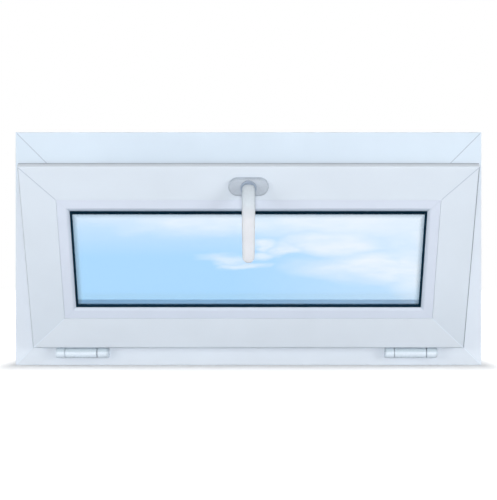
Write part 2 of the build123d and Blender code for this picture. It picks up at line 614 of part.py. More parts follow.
def build():
    """Every piece of the window, by node name."""
    pieces = {}
    names = {"bottom": "bottom_rail", "top": "top_rail", "left": "left_stile", "right": "right_stile"}
    for side, bar in frame_bars().items():
        pieces["frame_" + names[side]] = bar
    pieces["frame_seal"] = FRAME_RING.loop(frame_seal_section())
    for side, bar in sash_bars().items():
        pieces["sash_" + names[side]] = tilted(bar)
    bead = bead_section()
    for side in SIDES:
        pieces["glazing_bead_" + side] = tilted(SASH_RING.bar(bead, side, shave=0.1))
    pieces["bead_seal"] = tilted(SASH_RING.loop(bead_seal_section()))
    pieces["outer_glazing_seal"] = tilted(SASH_RING.loop(outer_glazing_seal_section()))
    pieces["inner_pane"] = tilted(glass_pane(GLASS_ROOM_SIDE))
    pieces["outer_pane"] = tilted(glass_pane(GLASS_ROOM_SIDE + PANE + CAVITY))
    pieces["spacer_bar"] = tilted(spacer_bar())

    sash_seal = SASH_RING.loop(sash_seal_section())
    for name, centre in (("left", -HINGE_OFFSET), ("right", HINGE_OFFSET)):
        frame_leaf, sash_leaf, pin, upright = hinge_parts(centre + HINGE_SHIFT)
        sash_seal -= upright
        pieces[name + "_hinge_frame_leaf"] = frame_leaf
        pieces[name + "_hinge_sash_leaf"] = tilted(sash_leaf)
        pieces[name + "_hinge_pin"] = pin
    pieces["sash_seal"] = tilted(sash_seal)

    for name, side in (("left", -1), ("right", 1)):
        bracket, arm, slider = stay_parts(side)
        pieces[name + "_stay_bracket"] = bracket
        pieces[name + "_stay_arm"] = arm
        pieces[name + "_stay_slider"] = slider
        pieces[name + "_keep"] = keep(side * KEEP_OFFSET)
        pieces[name + "_drain_cap"] = drain_cap(side * DRAIN_OFFSET)
    faceplate, drive_bar = locking_parts()
    pieces["lock_faceplate"] = tilted(faceplate)
    pieces["lock_drive_bar"] = tilted(drive_bar)
    pieces["handle_base"] = tilted(handle_base())
    pieces["handle_lever"] = tilted(handle_lever())
    return pieces


os.makedirs("parts", exist_ok=True)
for name, piece in build().items():
    export_step(piece, f"parts/{name}.step")
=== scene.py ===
"""A small white plastic window, its sash tilted open into the room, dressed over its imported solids.

Metres, +X right and +Z up as seen from the room, +Y towards the outside. The origin is the middle of the
frame's underside. The pieces of the sash are modelled with the sash shut and are then swung open with it.
"""

import logging
import math
from abc import ABC, abstractmethod
from collections.abc import Callable, Sequence
from dataclasses import dataclass, field
from enum import Enum

import bmesh
import bpy
from mathutils import Matrix, Vector


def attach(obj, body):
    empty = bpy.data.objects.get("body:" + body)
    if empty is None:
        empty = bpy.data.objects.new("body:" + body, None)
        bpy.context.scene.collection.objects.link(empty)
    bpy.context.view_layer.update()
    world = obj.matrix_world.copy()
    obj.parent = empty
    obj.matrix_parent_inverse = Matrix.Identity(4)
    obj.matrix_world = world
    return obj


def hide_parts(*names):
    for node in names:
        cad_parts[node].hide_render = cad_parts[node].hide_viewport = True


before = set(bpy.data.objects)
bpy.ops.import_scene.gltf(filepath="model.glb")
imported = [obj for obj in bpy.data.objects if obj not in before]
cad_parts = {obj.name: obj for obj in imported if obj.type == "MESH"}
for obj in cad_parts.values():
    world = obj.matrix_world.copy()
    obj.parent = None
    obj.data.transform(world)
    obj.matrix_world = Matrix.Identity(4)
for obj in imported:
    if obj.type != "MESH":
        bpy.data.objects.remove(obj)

LOG = logging.getLogger("tilt_window")

WINDOW_WIDTH = 0.800
WINDOW_HEIGHT = 0.400
ROOM_FACE_Y = -0.030
HINGE_AXIS = Vector((0.0, -0.042, 0.0225))
TILT = math.radians(26.3)
SWING = Matrix.Translation(HINGE_AXIS) @ Matrix.Rotation(TILT, 4, "X") @ Matrix.Translation(-HINGE_AXIS)

Colour = tuple[float, float, float, float]
Triple = tuple[float, float, float]
Span = tuple[float, float]

MIDDLE_NOISE: Span = (0.3, 0.7)
SOFT_NOISE: Span = (0.35, 0.65)


class Part(Enum):
    """What an edit-mode selection is made of."""

    POINTS = "VERT"
    EDGES = "EDGE"
    FACES = "FACE"


class Side(Enum):
    """A side of the window, as seen from the room."""

    LEFT = -1
    RIGHT = 1

    @property
    def word(self) -> str:
        """The side's name as the nodes write it."""
        return self.name.lower()


def shade(red: float, green: float, blue: float) -> Colour:
    """Turns a colour as a screen shows it into the linear colour that a shader takes.

    Args:
        red: Red from 0 to 255.
        green: Green from 0 to 255.
        blue: Blue from 0 to 255.

    Returns:
        The linear colour with full alpha.
    """
    linear = []
    for level in (red, green, blue):
        part = level / 255
        linear.append(part / 12.92 if part <= 0.04045 else ((part + 0.055) / 1.055) ** 2.4)
    return (linear[0], linear[1], linear[2], 1.0)


def grey(level: float) -> Colour:
    """A neutral colour of one linear level."""
    return (level, level, level, 1.0)


def dimmed(colour: Colour, share: float) -> Colour:
    """A colour at a share of its brightness."""
    return (colour[0] * share, colour[1] * share, colour[2] * share, 1.0)


def deselect() -> None:
    """Leaves nothing selected, so that an operator acts only on what is picked next."""
    bpy.ops.object.select_all(action="DESELECT")
    bpy.context.view_layer.objects.active = None


def take(*pieces: bpy.types.Object) -> None:
    """Selects these pieces alone, the first of them active."""
    deselect()
    for piece in pieces:
        piece.select_set(True)
    bpy.context.view_layer.objects.active = pieces[0]


def settle(piece: bpy.types.Object) -> None:
    """Puts a piece's place into its mesh, its object at the origin."""
    take(piece)
    bpy.ops.object.transform_apply(location=True, rotation=True, scale=True)


def made(name: str) -> bpy.types.Object:
    """Names the object that an operator has just made, and its mesh."""
    piece = bpy.context.view_layer.objects.active
    piece.name = name
    piece.data.name = name
    return piece


def started(name: str) -> bpy.types.Object:
    """Takes over the primitive that was just added, its place in its mesh."""
    piece = made(name)
    settle(piece)
    return piece


def cube(name: str, low: Triple, high: Triple) -> bpy.types.Object:
    """Adds a cube primitive between two corners.

    Args:
        name: The piece's name.
        low: Its lowest corner.
        high: Its highest corner.

    Returns:
        The new piece.
    """
    deselect()
    middle = [(a + b) / 2 for a, b in zip(low, high)]
    spread = [b - a for a, b in zip(low, high)]
    bpy.ops.mesh.primitive_cube_add(size=1.0, location=middle, scale=spread)
    return started(name)


def cylinder(
    name: str, radius: float, depth: float, middle: Triple, turn: Triple, corners: int = 32
) -> bpy.types.Object:
    """Adds a cylinder primitive.

    Args:
        name: The piece's name.
        radius: Its radius.
        depth: Its length along its own axis.
        middle: Its middle.
        turn: How its axis, upright at first, is turned, in radians.
        corners: How many sides it has.

    Returns:
        The new piece.
    """
    deselect()
    bpy.ops.mesh.primitive_cylinder_add(
        vertices=corners, radius=radius, depth=depth, location=middle, rotation=turn
    )
    return started(name)


class Shaping:
    """A piece held in edit mode, its points, edges and faces picked by place or direction."""

    def __init__(self, piece: bpy.types.Object) -> None:
        """Takes the piece to shape."""
        self.piece = piece

    def __enter__(self) -> "Shaping":
        """Opens the piece in edit mode with nothing selected."""
        take(self.piece)
        bpy.ops.object.mode_set(mode="EDIT")
        bpy.ops.mesh.select_all(action="DESELECT")
        return self

    def __exit__(self, *details: object) -> None:
        """Closes edit mode."""
        bpy.ops.object.mode_set(mode="OBJECT")

    def pick(self, part: Part, test: Callable[[object], bool]) -> None:
        """Selects what a test accepts, and nothing else.

        Args:
            part: Whether points, edges or faces are tested.
            test: Is given each of them in turn.
        """
        bpy.ops.mesh.select_mode(type=part.value)
        bpy.ops.mesh.select_all(action="DESELECT")
        mesh = bmesh.from_edit_mesh(self.piece.data)
        mesh.normal_update()
        members = {Part.POINTS: mesh.verts, Part.EDGES: mesh.edges, Part.FACES: mesh.faces}[part]
        for member in [member for member in members if test(member)]:
            member.select_set(True)
        mesh.select_flush_mode()
        bmesh.update_edit_mesh(self.piece.data)

    def facing(self, way: Triple, near: Callable[[Vector], bool] = lambda middle: True) -> None:
        """Selects the faces that look one way.

        Args:
            way: The direction they face.
            near: Is given a face's middle and says whether it counts.
        """
        aim = Vector(way).normalized()
        self.pick(Part.FACES, lambda face: face.normal.dot(aim) > 0.99 and near(face.calc_center_median()))

    def inset(self, width: float) -> None:
        """Insets the selected faces."""
        bpy.ops.mesh.inset(thickness=width)

    def push(self, way: Triple) -> None:
        """Extrudes the selected faces along a vector."""
        bpy.ops.mesh.extrude_region_move(TRANSFORM_OT_translate={"value": way})

    def move(self, way: Triple) -> None:
        """Moves what is selected along a vector."""
        bpy.ops.transform.translate(value=way)

    def scale(self, factors: Triple, middle: Triple) -> None:
        """Scales what is selected about a point."""
        bpy.ops.transform.resize(value=factors, center_override=middle)

    def round_edges(self, width: float, rows: int = 3) -> None:
        """Bevels the selected edges to a rounded edge of a few rows of faces."""
        bpy.ops.mesh.bevel(offset=width, segments=rows, profile=0.5, affect="EDGES")

    def ease(self, way: Triple, at: float, width: float, rows: int = 3) -> None:
        """Rounds the edges that bound a flat end, which lies so far along a unit axis."""
        self.pick(Part.EDGES, rim(way, at))
        self.round_edges(width, rows)

    def tidy(self) -> None:
        """Merges doubled points and turns every face outwards."""
        bpy.ops.mesh.select_mode(type="VERT")
        bpy.ops.mesh.select_all(action="SELECT")
        bpy.ops.mesh.remove_doubles(threshold=1e-6)
        bpy.ops.mesh.normals_make_consistent(inside=False)


def rim(way: Triple, at: float) -> Callable[[object], bool]:
    """A test for the edges that bound a flat end.

    Args:
        way: Unit axis along which the end lies.
        at: Where along that axis the end is.

    Returns:
        The test, true for an edge with both points at that end.
    """
    aim = Vector(way)

    def test(edge: object) -> bool:
        """Whether both ends of the edge lie in the end's plane."""
        return all(abs(point.co.dot(aim) - at) < 1e-6 for point in edge.verts)

    return test


def joined(name: str, pieces: Sequence[bpy.types.Object]) -> bpy.types.Object:
    """Joins pieces into one object.

    Args:
        name: The name it gets.
        pieces: What it is made of.

    Returns:
        The joined piece.
    """
    take(*pieces)
    bpy.ops.object.join()
    return made(name)


def subdivided(piece: bpy.types.Object, levels: int) -> None:
    """Adds a subdivision surface of so many levels and applies it."""
    take(piece)
    bpy.ops.object.modifier_add(type="SUBSURF")
    surface = piece.modifiers[-1]
    surface.levels = levels
    surface.render_levels = levels
    bpy.ops.object.modifier_apply(modifier=surface.name)


def smoothed(piece: bpy.types.Object, sharp: float = 32.0) -> None:
    """Shades a piece smooth but for edges sharper than so many degrees."""
    take(piece)
    bpy.ops.object.shade_smooth_by_angle(angle=math.radians(sharp))


def copied(piece: bpy.types.Object, name: str, place: Matrix) -> bpy.types.Object:
    """Copies a piece with its own mesh.

    Args:
        piece: What is copied.
        name: The copy's name.
        place: Where the copy goes, from the original's place.

    Returns:
        The copy, its place in its mesh.
    """
    take(piece)
    bpy.ops.object.duplicate(linked=False)
    copy = made(name)
    copy.matrix_world = place
    settle(copy)
    return copy


def swung(piece: bpy.types.Object) -> bpy.types.Object:
    """Swings a piece, modelled on the closed sash, open with it."""
    piece.matrix_world = SWING
    settle(piece)
    return piece


class Graph:
    """The nodes of one material, or of the world, added and linked in plain steps."""

    def __init__(self, name: str, world: bool = False) -> None:
        """Starts a material, or a world, that has only its output.

        Args:
            name: Its name.
            world: Whether it is a world.
        """
        self.owner = bpy.data.worlds.new(name) if world else bpy.data.materials.new(name)
        self.owner.use_nodes = True
        self.tree = self.owner.node_tree
        self.tree.nodes.clear()
        self.output = self.add("OutputWorld" if world else "OutputMaterial")

    def add(self, kind: str, settings: dict[str, object] | None = None, **inputs: object) -> bpy.types.Node:
        """Adds a node.

        Args:
            kind: Its type, without the leading ShaderNode.
            settings: Its properties by name.
            **inputs: Its inputs by name with underscores for spaces, a value or a socket to link.

        Returns:
            The node.
        """
        node = self.tree.nodes.new("ShaderNode" + kind)
        for key, value in (settings or {}).items():
            setattr(node, key, value)
        for key, value in inputs.items():
            self.feed(node.inputs[key.replace("_", " ")], value)
        return node

    def joining(self, kind: str, settings: dict[str, object] | None, *values: object) -> bpy.types.Node:
        """Adds a node and feeds its first inputs in turn."""
        node = self.add(kind, settings)
        for socket, value in zip(node.inputs, values):
            self.feed(socket, value)
        return node

    def feed(self, socket: bpy.types.NodeSocket, value: object) -> None:
        """Links a socket to an input, or sets the input's own value."""
        if isinstance(value, bpy.types.NodeSocket):
            self.tree.links.new(value, socket)
        else:
            socket.default_value = value

    def here(self) -> bpy.types.NodeSocket:
        """Object coordinates."""
        return self.add("TexCoord").outputs["Object"]

    def axes(self) -> bpy.types.NodeOutputs:
        """Object coordinates as three numbers, by the names X, Y and Z."""
        return self.add("SeparateXYZ", Vector=self.here()).outputs

    def place(self, scale: Triple) -> bpy.types.NodeSocket:
        """Object coordinates scaled for a pattern."""
        return self.add("Mapping", Vector=self.here(), Scale=scale).outputs["Vector"]

    def noise(
        self, where: bpy.types.NodeSocket, scale: float, detail: float = 3.0, rough: float = 0.5
    ) -> bpy.types.NodeSocket:
        """A noise pattern's strength at each point."""
        node = self.add("TexNoise", Vector=where, Scale=scale, Detail=detail, Roughness=rough)
        return node.outputs["Fac"]

    def ranged(self, value: object, before: Span, after: Span = (0.0, 1.0)) -> bpy.types.NodeSocket:
        """A value carried from one range to another, held at its ends."""
        node = self.add(
            "MapRange", Value=value, From_Min=before[0], From_Max=before[1], To_Min=after[0], To_Max=after[1]
        )
        return node.outputs["Result"]

    def blend(self, share: object, first: object, second: object) -> bpy.types.NodeSocket:
        """Two colours mixed by a share."""
        node = self.add("Mix", {"data_type": "RGBA"})
        self.feed(node.inputs[0], share)
        self.feed(node.inputs[6], first)
        self.feed(node.inputs[7], second)
        return node.outputs[2]

    def maths(self, operation: str, first: object, second: object = 0.0) -> bpy.types.NodeSocket:
        """One sum on two values."""
        return self.joining("Math", {"operation": operation}, first, second).outputs[0]

    def vector(self, operation: str, *values: object) -> bpy.types.Node:
        """One sum on vectors."""
        return self.joining("VectorMath", {"operation": operation}, *values)

    def mixed(self, share: object, first: bpy.types.Node, second: bpy.types.Node) -> bpy.types.Node:
        """Two shaders mixed by a share."""
        return self.joining("MixShader", None, share, first.outputs[0], second.outputs[0])

    def bumped(self, height: object, depth: float, strength: float) -> bpy.types.NodeSocket:
        """Surface normals for a relief of so many metres."""
        node = self.add("Bump", Height=height, Distance=depth, Strength=strength)
        return node.outputs["Normal"]

    def surface(self, shader: bpy.types.Node) -> bpy.types.ID:
        """Ends the material, or the world, with a shader."""
        self.feed(self.output.inputs["Surface"], shader.outputs[0])
        return self.owner


@dataclass(frozen=True)
class Finish(ABC):
    """How a surface looks."""

    name: str

    @abstractmethod
    def material(self) -> bpy.types.Material:
        """Builds the finish's material."""

    def dress(self, nodes: Sequence[str], built: bpy.types.Material | None = None) -> None:
        """Gives CAD nodes this finish.

        Args:
            nodes: Their names.
            built: The material where it is already built.
        """
        material = built or self.material()
        for name in nodes:
            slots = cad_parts[name].material_slots
            for place in slots:
                place.material = material
            if not slots:
                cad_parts[name].data.materials.append(material)


class Run(Enum):
    """Which way a profile's length lies."""

    ACROSS = "across"
    UPRIGHT = "upright"


@dataclass(frozen=True)
class WhiteProfile(Finish):
    """Extruded white plastic: satin, faintly drawn along its length, with a soft unevenness of tone."""

    colour: Colour
    # The colour towards the window's head: a painted sheen of blue sky on the frame, painted shade on the
    # sash.
    head: Colour
    run: Run
    roughness: float = 0.34
    draw_relief: float = 0.00004
    head_from: Span = (0.27, 0.36)

    def material(self) -> bpy.types.Material:
        """Builds the plastic with its drawing lines along the bar."""
        graph = Graph(self.name)
        along = (2.0, 900.0, 900.0) if self.run is Run.ACROSS else (900.0, 900.0, 2.0)
        lines = graph.noise(graph.place(along), 1.0, 2.0)
        grain = graph.noise(graph.here(), 1400.0, 2.0)
        relief = graph.maths("ADD", graph.maths("MULTIPLY", lines, 0.6), graph.maths("MULTIPLY", grain, 0.4))
        rough = graph.ranged(lines, MIDDLE_NOISE, (self.roughness - 0.04, self.roughness + 0.05))
        shader = graph.add(
            "BsdfPrincipled",
            Base_Color=self.tone(graph),
            Roughness=rough,
            Normal=graph.bumped(relief, self.draw_relief, 0.35),
            IOR=1.5,
            Specular_IOR_Level=0.35,
        )
        return graph.surface(shader)

    def tone(self, graph: Graph) -> bpy.types.NodeSocket:
        """The plastic's colour, blended by height towards its head colour, and never quite even.

        Args:
            graph: The material's nodes.

        Returns:
            The colour.
        """
        cloud = graph.noise(graph.here(), 9.0, 2.0)
        # Painted light: by height the colour turns to the head colour, a painted blue sky sheen on the
        # frame's head and painted shade on the sash's top rail.
        even = graph.blend(graph.ranged(graph.axes()["Z"], self.head_from), self.colour, self.head)
        tone = graph.vector("SCALE", even)
        graph.feed(tone.inputs["Scale"], graph.ranged(cloud, SOFT_NOISE, (1.0, 0.965)))
        return tone.outputs["Vector"]


@dataclass(frozen=True)
class SashStile(WhiteProfile):
    """The sash stiles' plastic, with the fine line of shade that parts the sash from the frame beside it."""

    # The colour of the painted shade along the sash's sides.
    line: Colour = shade(98, 110, 124)
    side_at: float = 0.367
    starts_before: Span = (0.0024, 0.0012)
    ends_before: Span = (0.0003, 0.0001)
    left_and_right: Span = (0.3, 0.95)
    turnover: float = 0.1

    def tone(self, graph: Graph) -> bpy.types.NodeSocket:
        """The plastic's colour, with painted shade on the last millimetres before the sash's side.

        Args:
            graph: The material's nodes.

        Returns:
            The colour.
        """
        where = graph.axes()
        before = graph.maths("SUBTRACT", self.side_at, graph.maths("ABSOLUTE", where["X"]))
        starts = graph.ranged(before, self.starts_before)
        ends = graph.ranged(before, self.ends_before, (1.0, 0.0))
        # The painted shade is stronger on the right side, as the light falls from the left.
        share = graph.ranged(where["X"], (-self.turnover, self.turnover), self.left_and_right)
        line = graph.maths("MULTIPLY", graph.maths("MULTIPLY", starts, ends), share)
        return graph.blend(line, super().tone(graph), self.line)


@dataclass(frozen=True)
class BeadProfile(WhiteProfile):
    """The glazing beads' plastic, with painted shade on the sloped edge down to the seal at head and sides.
    """

    # The colour of the painted shade on the slope next to the seal.
    near_seal: Colour = shade(104, 128, 148)
    head_slope: Span = (0.2652, 0.2600)
    head_share: float = 0.85
    head_end: float = 0.002
    side_slope: Span = (0.2945, 0.2885)
    side_share: float = 0.45

    def tone(self, graph: Graph) -> bpy.types.NodeSocket:
        """The plastic's colour, with painted shade towards the seal.

        Args:
            graph: The material's nodes.

        Returns:
            The colour.
        """
        where = graph.axes()
        # Painted shade: strong on the head bead's slope, which faces down, and weaker on the side beads.
        if self.run is Run.UPRIGHT:
            beside = graph.maths("ABSOLUTE", where["X"])
            share = graph.ranged(beside, self.side_slope, (0.0, self.side_share))
        else:
            foot = self.head_slope[1]
            above = graph.ranged(where["Z"], (foot - self.head_end, foot))
            down = graph.ranged(where["Z"], self.head_slope, (0.0, self.head_share))
            share = graph.maths("MULTIPLY", above, down)
        return graph.blend(share, super().tone(graph), self.near_seal)


@dataclass(frozen=True)
class SoftSeal(Finish):
    """Extruded sealing rubber: matt, with a fine skin and a dusty bloom."""

    colour: Colour
    bloom: Colour
    roughness: float = 0.62
    ior: float = 1.5
    gleam: float = 0.5

    def material(self) -> bpy.types.Material:
        """Builds the rubber with its bloom and fine skin."""
        graph = Graph(self.name)
        patch = graph.noise(graph.here(), 60.0, 4.0, 0.6)
        skin = graph.noise(graph.here(), 2600.0, 2.0)
        tone = graph.blend(graph.ranged(patch, (0.45, 0.75), (0.0, 0.6)), self.colour, self.bloom)
        shader = graph.add(
            "BsdfPrincipled",
            Base_Color=tone,
            Roughness=graph.ranged(patch, MIDDLE_NOISE, (self.roughness - 0.08, self.roughness + 0.1)),
            Normal=graph.bumped(skin, 0.00006, 0.5),
            IOR=self.ior,
            Specular_IOR_Level=self.gleam,
        )
        return graph.surface(shader)


@dataclass(frozen=True)
class CoatedMetal(Finish):
    """White stove enamel on a casting, with the fine orange peel of sprayed paint.

    Where a painted shade is given, the enamel is painted darker towards the top, between the two heights of
    fade.
    """

    colour: Colour
    roughness: float = 0.27
    painted_shade: Colour | None = None
    fade: Span = (0.0, 1.0)

    def material(self) -> bpy.types.Material:
        """Builds the enamel under its thin clear skin."""
        graph = Graph(self.name)
        peel = graph.noise(graph.here(), 620.0, 2.0, 0.4)
        cloud = graph.noise(graph.here(), 40.0, 2.0)
        tone = graph.blend(graph.ranged(cloud, SOFT_NOISE), self.colour, dimmed(self.colour, 0.95))
        # Painted shade: where given, the enamel darkens towards the top by height.
        if self.painted_shade is not None:
            tone = graph.blend(graph.ranged(graph.axes()["Z"], self.fade), tone, self.painted_shade)
        shader = graph.add(
            "BsdfPrincipled",
            Base_Color=tone,
            Roughness=graph.ranged(peel, MIDDLE_NOISE, (self.roughness - 0.03, self.roughness + 0.05)),
            Normal=graph.bumped(peel, 0.00005, 0.35),
            IOR=1.5,
            Coat_Weight=0.25,
            Coat_Roughness=0.12,
        )
        return graph.surface(shader)


@dataclass(frozen=True)
class ZincSteel(Finish):
    """Zinc plated steel: bright, faintly spangled and drawn, with a bluish cast and dull patches."""

    colour: Colour
    dull: Colour
    roughness: float = 0.3

    def material(self) -> bpy.types.Material:
        """Builds the plating with its spangle."""
        graph = Graph(self.name)
        spangle = graph.add("TexVoronoi", {"feature": "F1"}, Vector=graph.here(), Scale=260.0)
        cell = graph.add("SeparateColor", Color=spangle.outputs["Color"]).outputs[0]
        patch = graph.noise(graph.here(), 70.0, 4.0, 0.6)
        scratch = graph.noise(graph.place((1500.0, 1500.0, 60.0)), 1.0, 2.0)
        tone = graph.blend(graph.ranged(patch, (0.4, 0.7), (0.0, 0.8)), self.colour, self.dull)
        shader = graph.add(
            "BsdfPrincipled",
            Base_Color=graph.blend(graph.maths("MULTIPLY", cell, 0.12), tone, self.dull),
            Metallic=1.0,
            Roughness=graph.ranged(patch, MIDDLE_NOISE, (self.roughness - 0.06, self.roughness + 0.12)),
            Normal=graph.bumped(scratch, 0.00003, 0.4),
        )
        return graph.surface(shader)


@dataclass(frozen=True)
class SpacerMetal(Finish):
    """The spacer between the panes: mill aluminium with its row of breather holes."""

    colour: Colour
    hole: Colour
    pitch: float = 0.0035

    def material(self) -> bpy.types.Material:
        """Builds the strip with its row of small holes."""
        graph = Graph(self.name)
        where = graph.axes()
        beat = graph.maths("SINE", graph.maths("MULTIPLY", where["X"], 2 * math.pi / self.pitch))
        climb = graph.maths("SINE", graph.maths("MULTIPLY", where["Z"], 2 * math.pi / self.pitch))
        holes = graph.ranged(graph.maths("MULTIPLY", beat, climb), (0.72, 0.9))
        drawn = graph.noise(graph.place((40.0, 1800.0, 1800.0)), 1.0, 2.0)
        shader = graph.add(
            "BsdfPrincipled",
            Base_Color=graph.blend(holes, self.colour, self.hole),
            Metallic=1.0,
            Roughness=graph.ranged(drawn, MIDDLE_NOISE, (0.32, 0.46)),
            Normal=graph.bumped(graph.maths("SUBTRACT", drawn, holes), 0.00005, 0.4),
        )
        return graph.surface(shader)


@dataclass(frozen=True)
class MouldedCap(Finish):
    """Moulded white plastic with a fine spark-eroded grain."""

    colour: Colour

    def material(self) -> bpy.types.Material:
        """Builds the grained plastic."""
        graph = Graph(self.name)
        grain = graph.noise(graph.here(), 1900.0, 3.0, 0.6)
        cloud = graph.noise(graph.here(), 30.0, 2.0)
        shader = graph.add(
            "BsdfPrincipled",
            Base_Color=graph.blend(cloud, self.colour, dimmed(self.colour, 0.94)),
            Roughness=graph.ranged(grain, MIDDLE_NOISE, (0.42, 0.58)),
            Normal=graph.bumped(grain, 0.00012, 0.5),
            IOR=1.5,
        )
        return graph.surface(shader)


@dataclass(frozen=True)
class Drift:
    """A drift of cloud in the painted sky on the pane: its middle, its half width and its half height."""

    across: float
    height: float
    wide: float
    tall: float
    weight: float = 1.0


@dataclass(frozen=True)
class PaneGlass(Finish):
    """A glass pane with a painted sky in its tint: pale blue, with soft drifts of cloud across it.

    With no drifts it is clear glass. A matt dark band along the pane's head is a painted reflection of the
    seal.
    """

    deep: Colour
    pale: Colour
    cloud: Colour
    drifts: tuple[Drift, ...] = ()
    # The colour of the painted shade and reflection of the seal at the pane's rim.
    edge: Colour = shade(118, 146, 168)
    # The colour of the painted reflection of the seal along the pane's head.
    seal: Colour = shade(6, 32, 48)
    half_width: float = 0.2852
    low_edge: float = 0.1005
    high_edge: float = 0.2568
    rim: Span = (-0.004, 0.009)
    lip: Span = (0.0004, 0.0015)
    swirl: Triple = (0.16, 0.0, 0.045)

    def material(self) -> bpy.types.Material:
        """Builds clear glass, tinted with the painted sky, that lets lamps through."""
        graph = Graph(self.name)
        tint = self.sky(graph) if self.drifts else self.pale
        glass = graph.add(
            "BsdfPrincipled",
            Base_Color=tint,
            Roughness=0.0,
            IOR=1.45,
            Transmission_Weight=1.0,
            Specular_IOR_Level=0.12,
        )
        clear = graph.add("BsdfTransparent", Color=(0.93, 0.97, 0.98, 1.0))
        pane = graph.mixed(graph.add("LightPath").outputs["Is Shadow Ray"], glass, clear)
        if self.drifts:
            # Painted reflection: a matt dark band along the pane's head stands for the seal mirrored in the
            # glass.
            rubber = graph.add("BsdfPrincipled", Base_Color=self.seal, Roughness=0.6, Specular_IOR_Level=0.0)
            from_head = graph.maths("SUBTRACT", self.high_edge, graph.axes()["Z"])
            pane = graph.mixed(graph.ranged(from_head, self.lip, (1.0, 0.0)), pane, rubber)
        return graph.surface(pane)

    def sky(self, graph: Graph) -> bpy.types.NodeSocket:
        """The painted sky's colour at each point of the pane.

        Args:
            graph: The material's nodes.

        Returns:
            The colour: blue, paler upwards and to the right, with drifts of cloud, and dimmed at the rim by
                the seal's painted shade and reflection.
        """
        where = graph.axes()
        across = graph.ranged(where["X"], (-self.half_width, self.half_width))
        height = graph.ranged(where["Z"], (self.low_edge, self.high_edge))
        climb = graph.ranged(height, (0.55, 1.0), (0.0, 0.7))
        sideways = graph.ranged(across, (0.45, 1.0), (0.0, 0.45))
        plain = graph.blend(graph.maths("ADD", climb, sideways), self.deep, self.pale)
        clouded = graph.blend(self.cover(graph), plain, self.cloud)
        # Painted shade and reflection: the pane darkens towards the seal at its rim.
        return graph.blend(self.clear_of_rim(graph), self.edge, clouded)

    def cover(self, graph: Graph) -> bpy.types.NodeSocket:
        """How much of each point the drifts of cloud cover.

        Args:
            graph: The material's nodes.

        Returns:
            The cover, from none to full.
        """
        swirl = graph.add("TexNoise", Vector=graph.place((9.0, 9.0, 26.0)), Scale=1.0, Detail=4.0)
        push = graph.vector("SUBTRACT", swirl.outputs["Color"], (0.5, 0.5, 0.5)).outputs["Vector"]
        bent = graph.vector("MULTIPLY_ADD", push, self.swirl, graph.here()).outputs["Vector"]
        total = 0.0
        for drift in self.drifts:
            size = (1 / drift.wide, 0.0, 1 / drift.tall)
            middle = (-drift.across / drift.wide, 0.0, -drift.height / drift.tall)
            local = graph.add("Mapping", Vector=bent, Location=middle, Scale=size)
            reach = graph.vector("LENGTH", local.outputs["Vector"]).outputs["Value"]
            total = graph.maths("MAXIMUM", total, graph.ranged(reach, (1.15, 0.35), (0.0, drift.weight)))
        wisps = graph.noise(graph.place((7.0, 7.0, 30.0)), 1.0, 6.0, 0.6)
        return graph.maths("MULTIPLY", total, graph.ranged(wisps, (0.3, 0.62), (0.45, 1.0)))

    def clear_of_rim(self, graph: Graph) -> bpy.types.NodeSocket:
        """How far a point is clear of the painted shade and reflection of the seal at the pane's edge.

        Args:
            graph: The material's nodes.

        Returns:
            Less than one in the first millimetres from the seal, and one further in.
        """
        where = graph.axes()
        from_side = graph.maths("SUBTRACT", self.half_width, graph.maths("ABSOLUTE", where["X"]))
        from_foot = graph.maths("SUBTRACT", where["Z"], self.low_edge)
        from_head = graph.maths("SUBTRACT", self.high_edge, where["Z"])
        inside = graph.maths("MINIMUM", from_side, graph.maths("MINIMUM", from_foot, from_head))
        soft = graph.ranged(inside, self.rim)
        soft.node.interpolation_type = "SMOOTHSTEP"
        return soft


@dataclass
class Fastener(ABC):
    """A small fixing that is modelled once, looking up from the origin, and copied to its places."""

    plating: bpy.types.Material
    count: int = field(default=0, init=False)
    first: bpy.types.Object = field(init=False)

    def __post_init__(self) -> None:
        """Models the first one."""
        self.first = self.model()
        self.first.data.materials.append(self.plating)

    @abstractmethod
    def model(self) -> bpy.types.Object:
        """Models the fixing at the origin, its seat at z = 0 and its head up."""

    def put(self, name: str, seat: Triple, aim: Triple, on_sash: bool) -> None:
        """Copies the fixing to one of its places.

        Args:
            name: The copy's name.
            seat: The middle of its seat, on the closed window.
            aim: The way its head looks.
            on_sash: Whether it swings with the sash.
        """
        turn = Vector((0.0, 0.0, 1.0)).rotation_difference(Vector(aim)).to_matrix().to_4x4()
        place = Matrix.Translation(Vector(seat)) @ turn
        copy = copied(self.first, name, SWING @ place if on_sash else place)
        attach(copy, "root")
        self.count += 1

    def finish(self) -> None:
        """Removes the first one, which was only a pattern."""
        bpy.data.objects.remove(self.first)


@dataclass
class Screw(Fastener):
    """A countersunk cross-head screw that stands a touch proud of its plate."""

    radius: float = 0.0034
    proud: float = 0.0007
    recess: float = 0.0006
    arm: float = 0.52
    arm_half_width: float = 0.13
    taper: float = 0.8

    def model(self) -> bpy.types.Object:
        """Models the domed head with its cross recess."""
        head = cylinder("screw", self.radius, self.proud, (0, 0, self.proud / 2), (0, 0, 0), 24)
        with Shaping(head) as work:
            work.ease((0, 0, 1), self.proud, self.proud * 0.7)
            work.facing((0, 0, 1))
            work.inset(self.radius * 0.3)
        for shares in ((self.arm, self.arm_half_width), (self.arm_half_width, self.arm)):
            x, y = (self.radius * share for share in shares)
            bar = cube("slot", (-x, -y, self.proud - self.recess), (x, y, self.proud + self.recess))
            with Shaping(bar) as work:
                work.pick(Part.POINTS, lambda point: point.co.z < self.proud)
                work.scale((self.taper, self.taper, 1.0), (0, 0, 0))
            cut = head.modifiers.new("recess", "BOOLEAN")
            cut.operation = "DIFFERENCE"
            cut.solver = "EXACT"
            cut.object = bar
            take(head)
            bpy.ops.object.modifier_apply(modifier=cut.name)
            bpy.data.objects.remove(bar)
        with Shaping(head) as work:
            work.tidy()
        smoothed(head, 30.0)
        return head


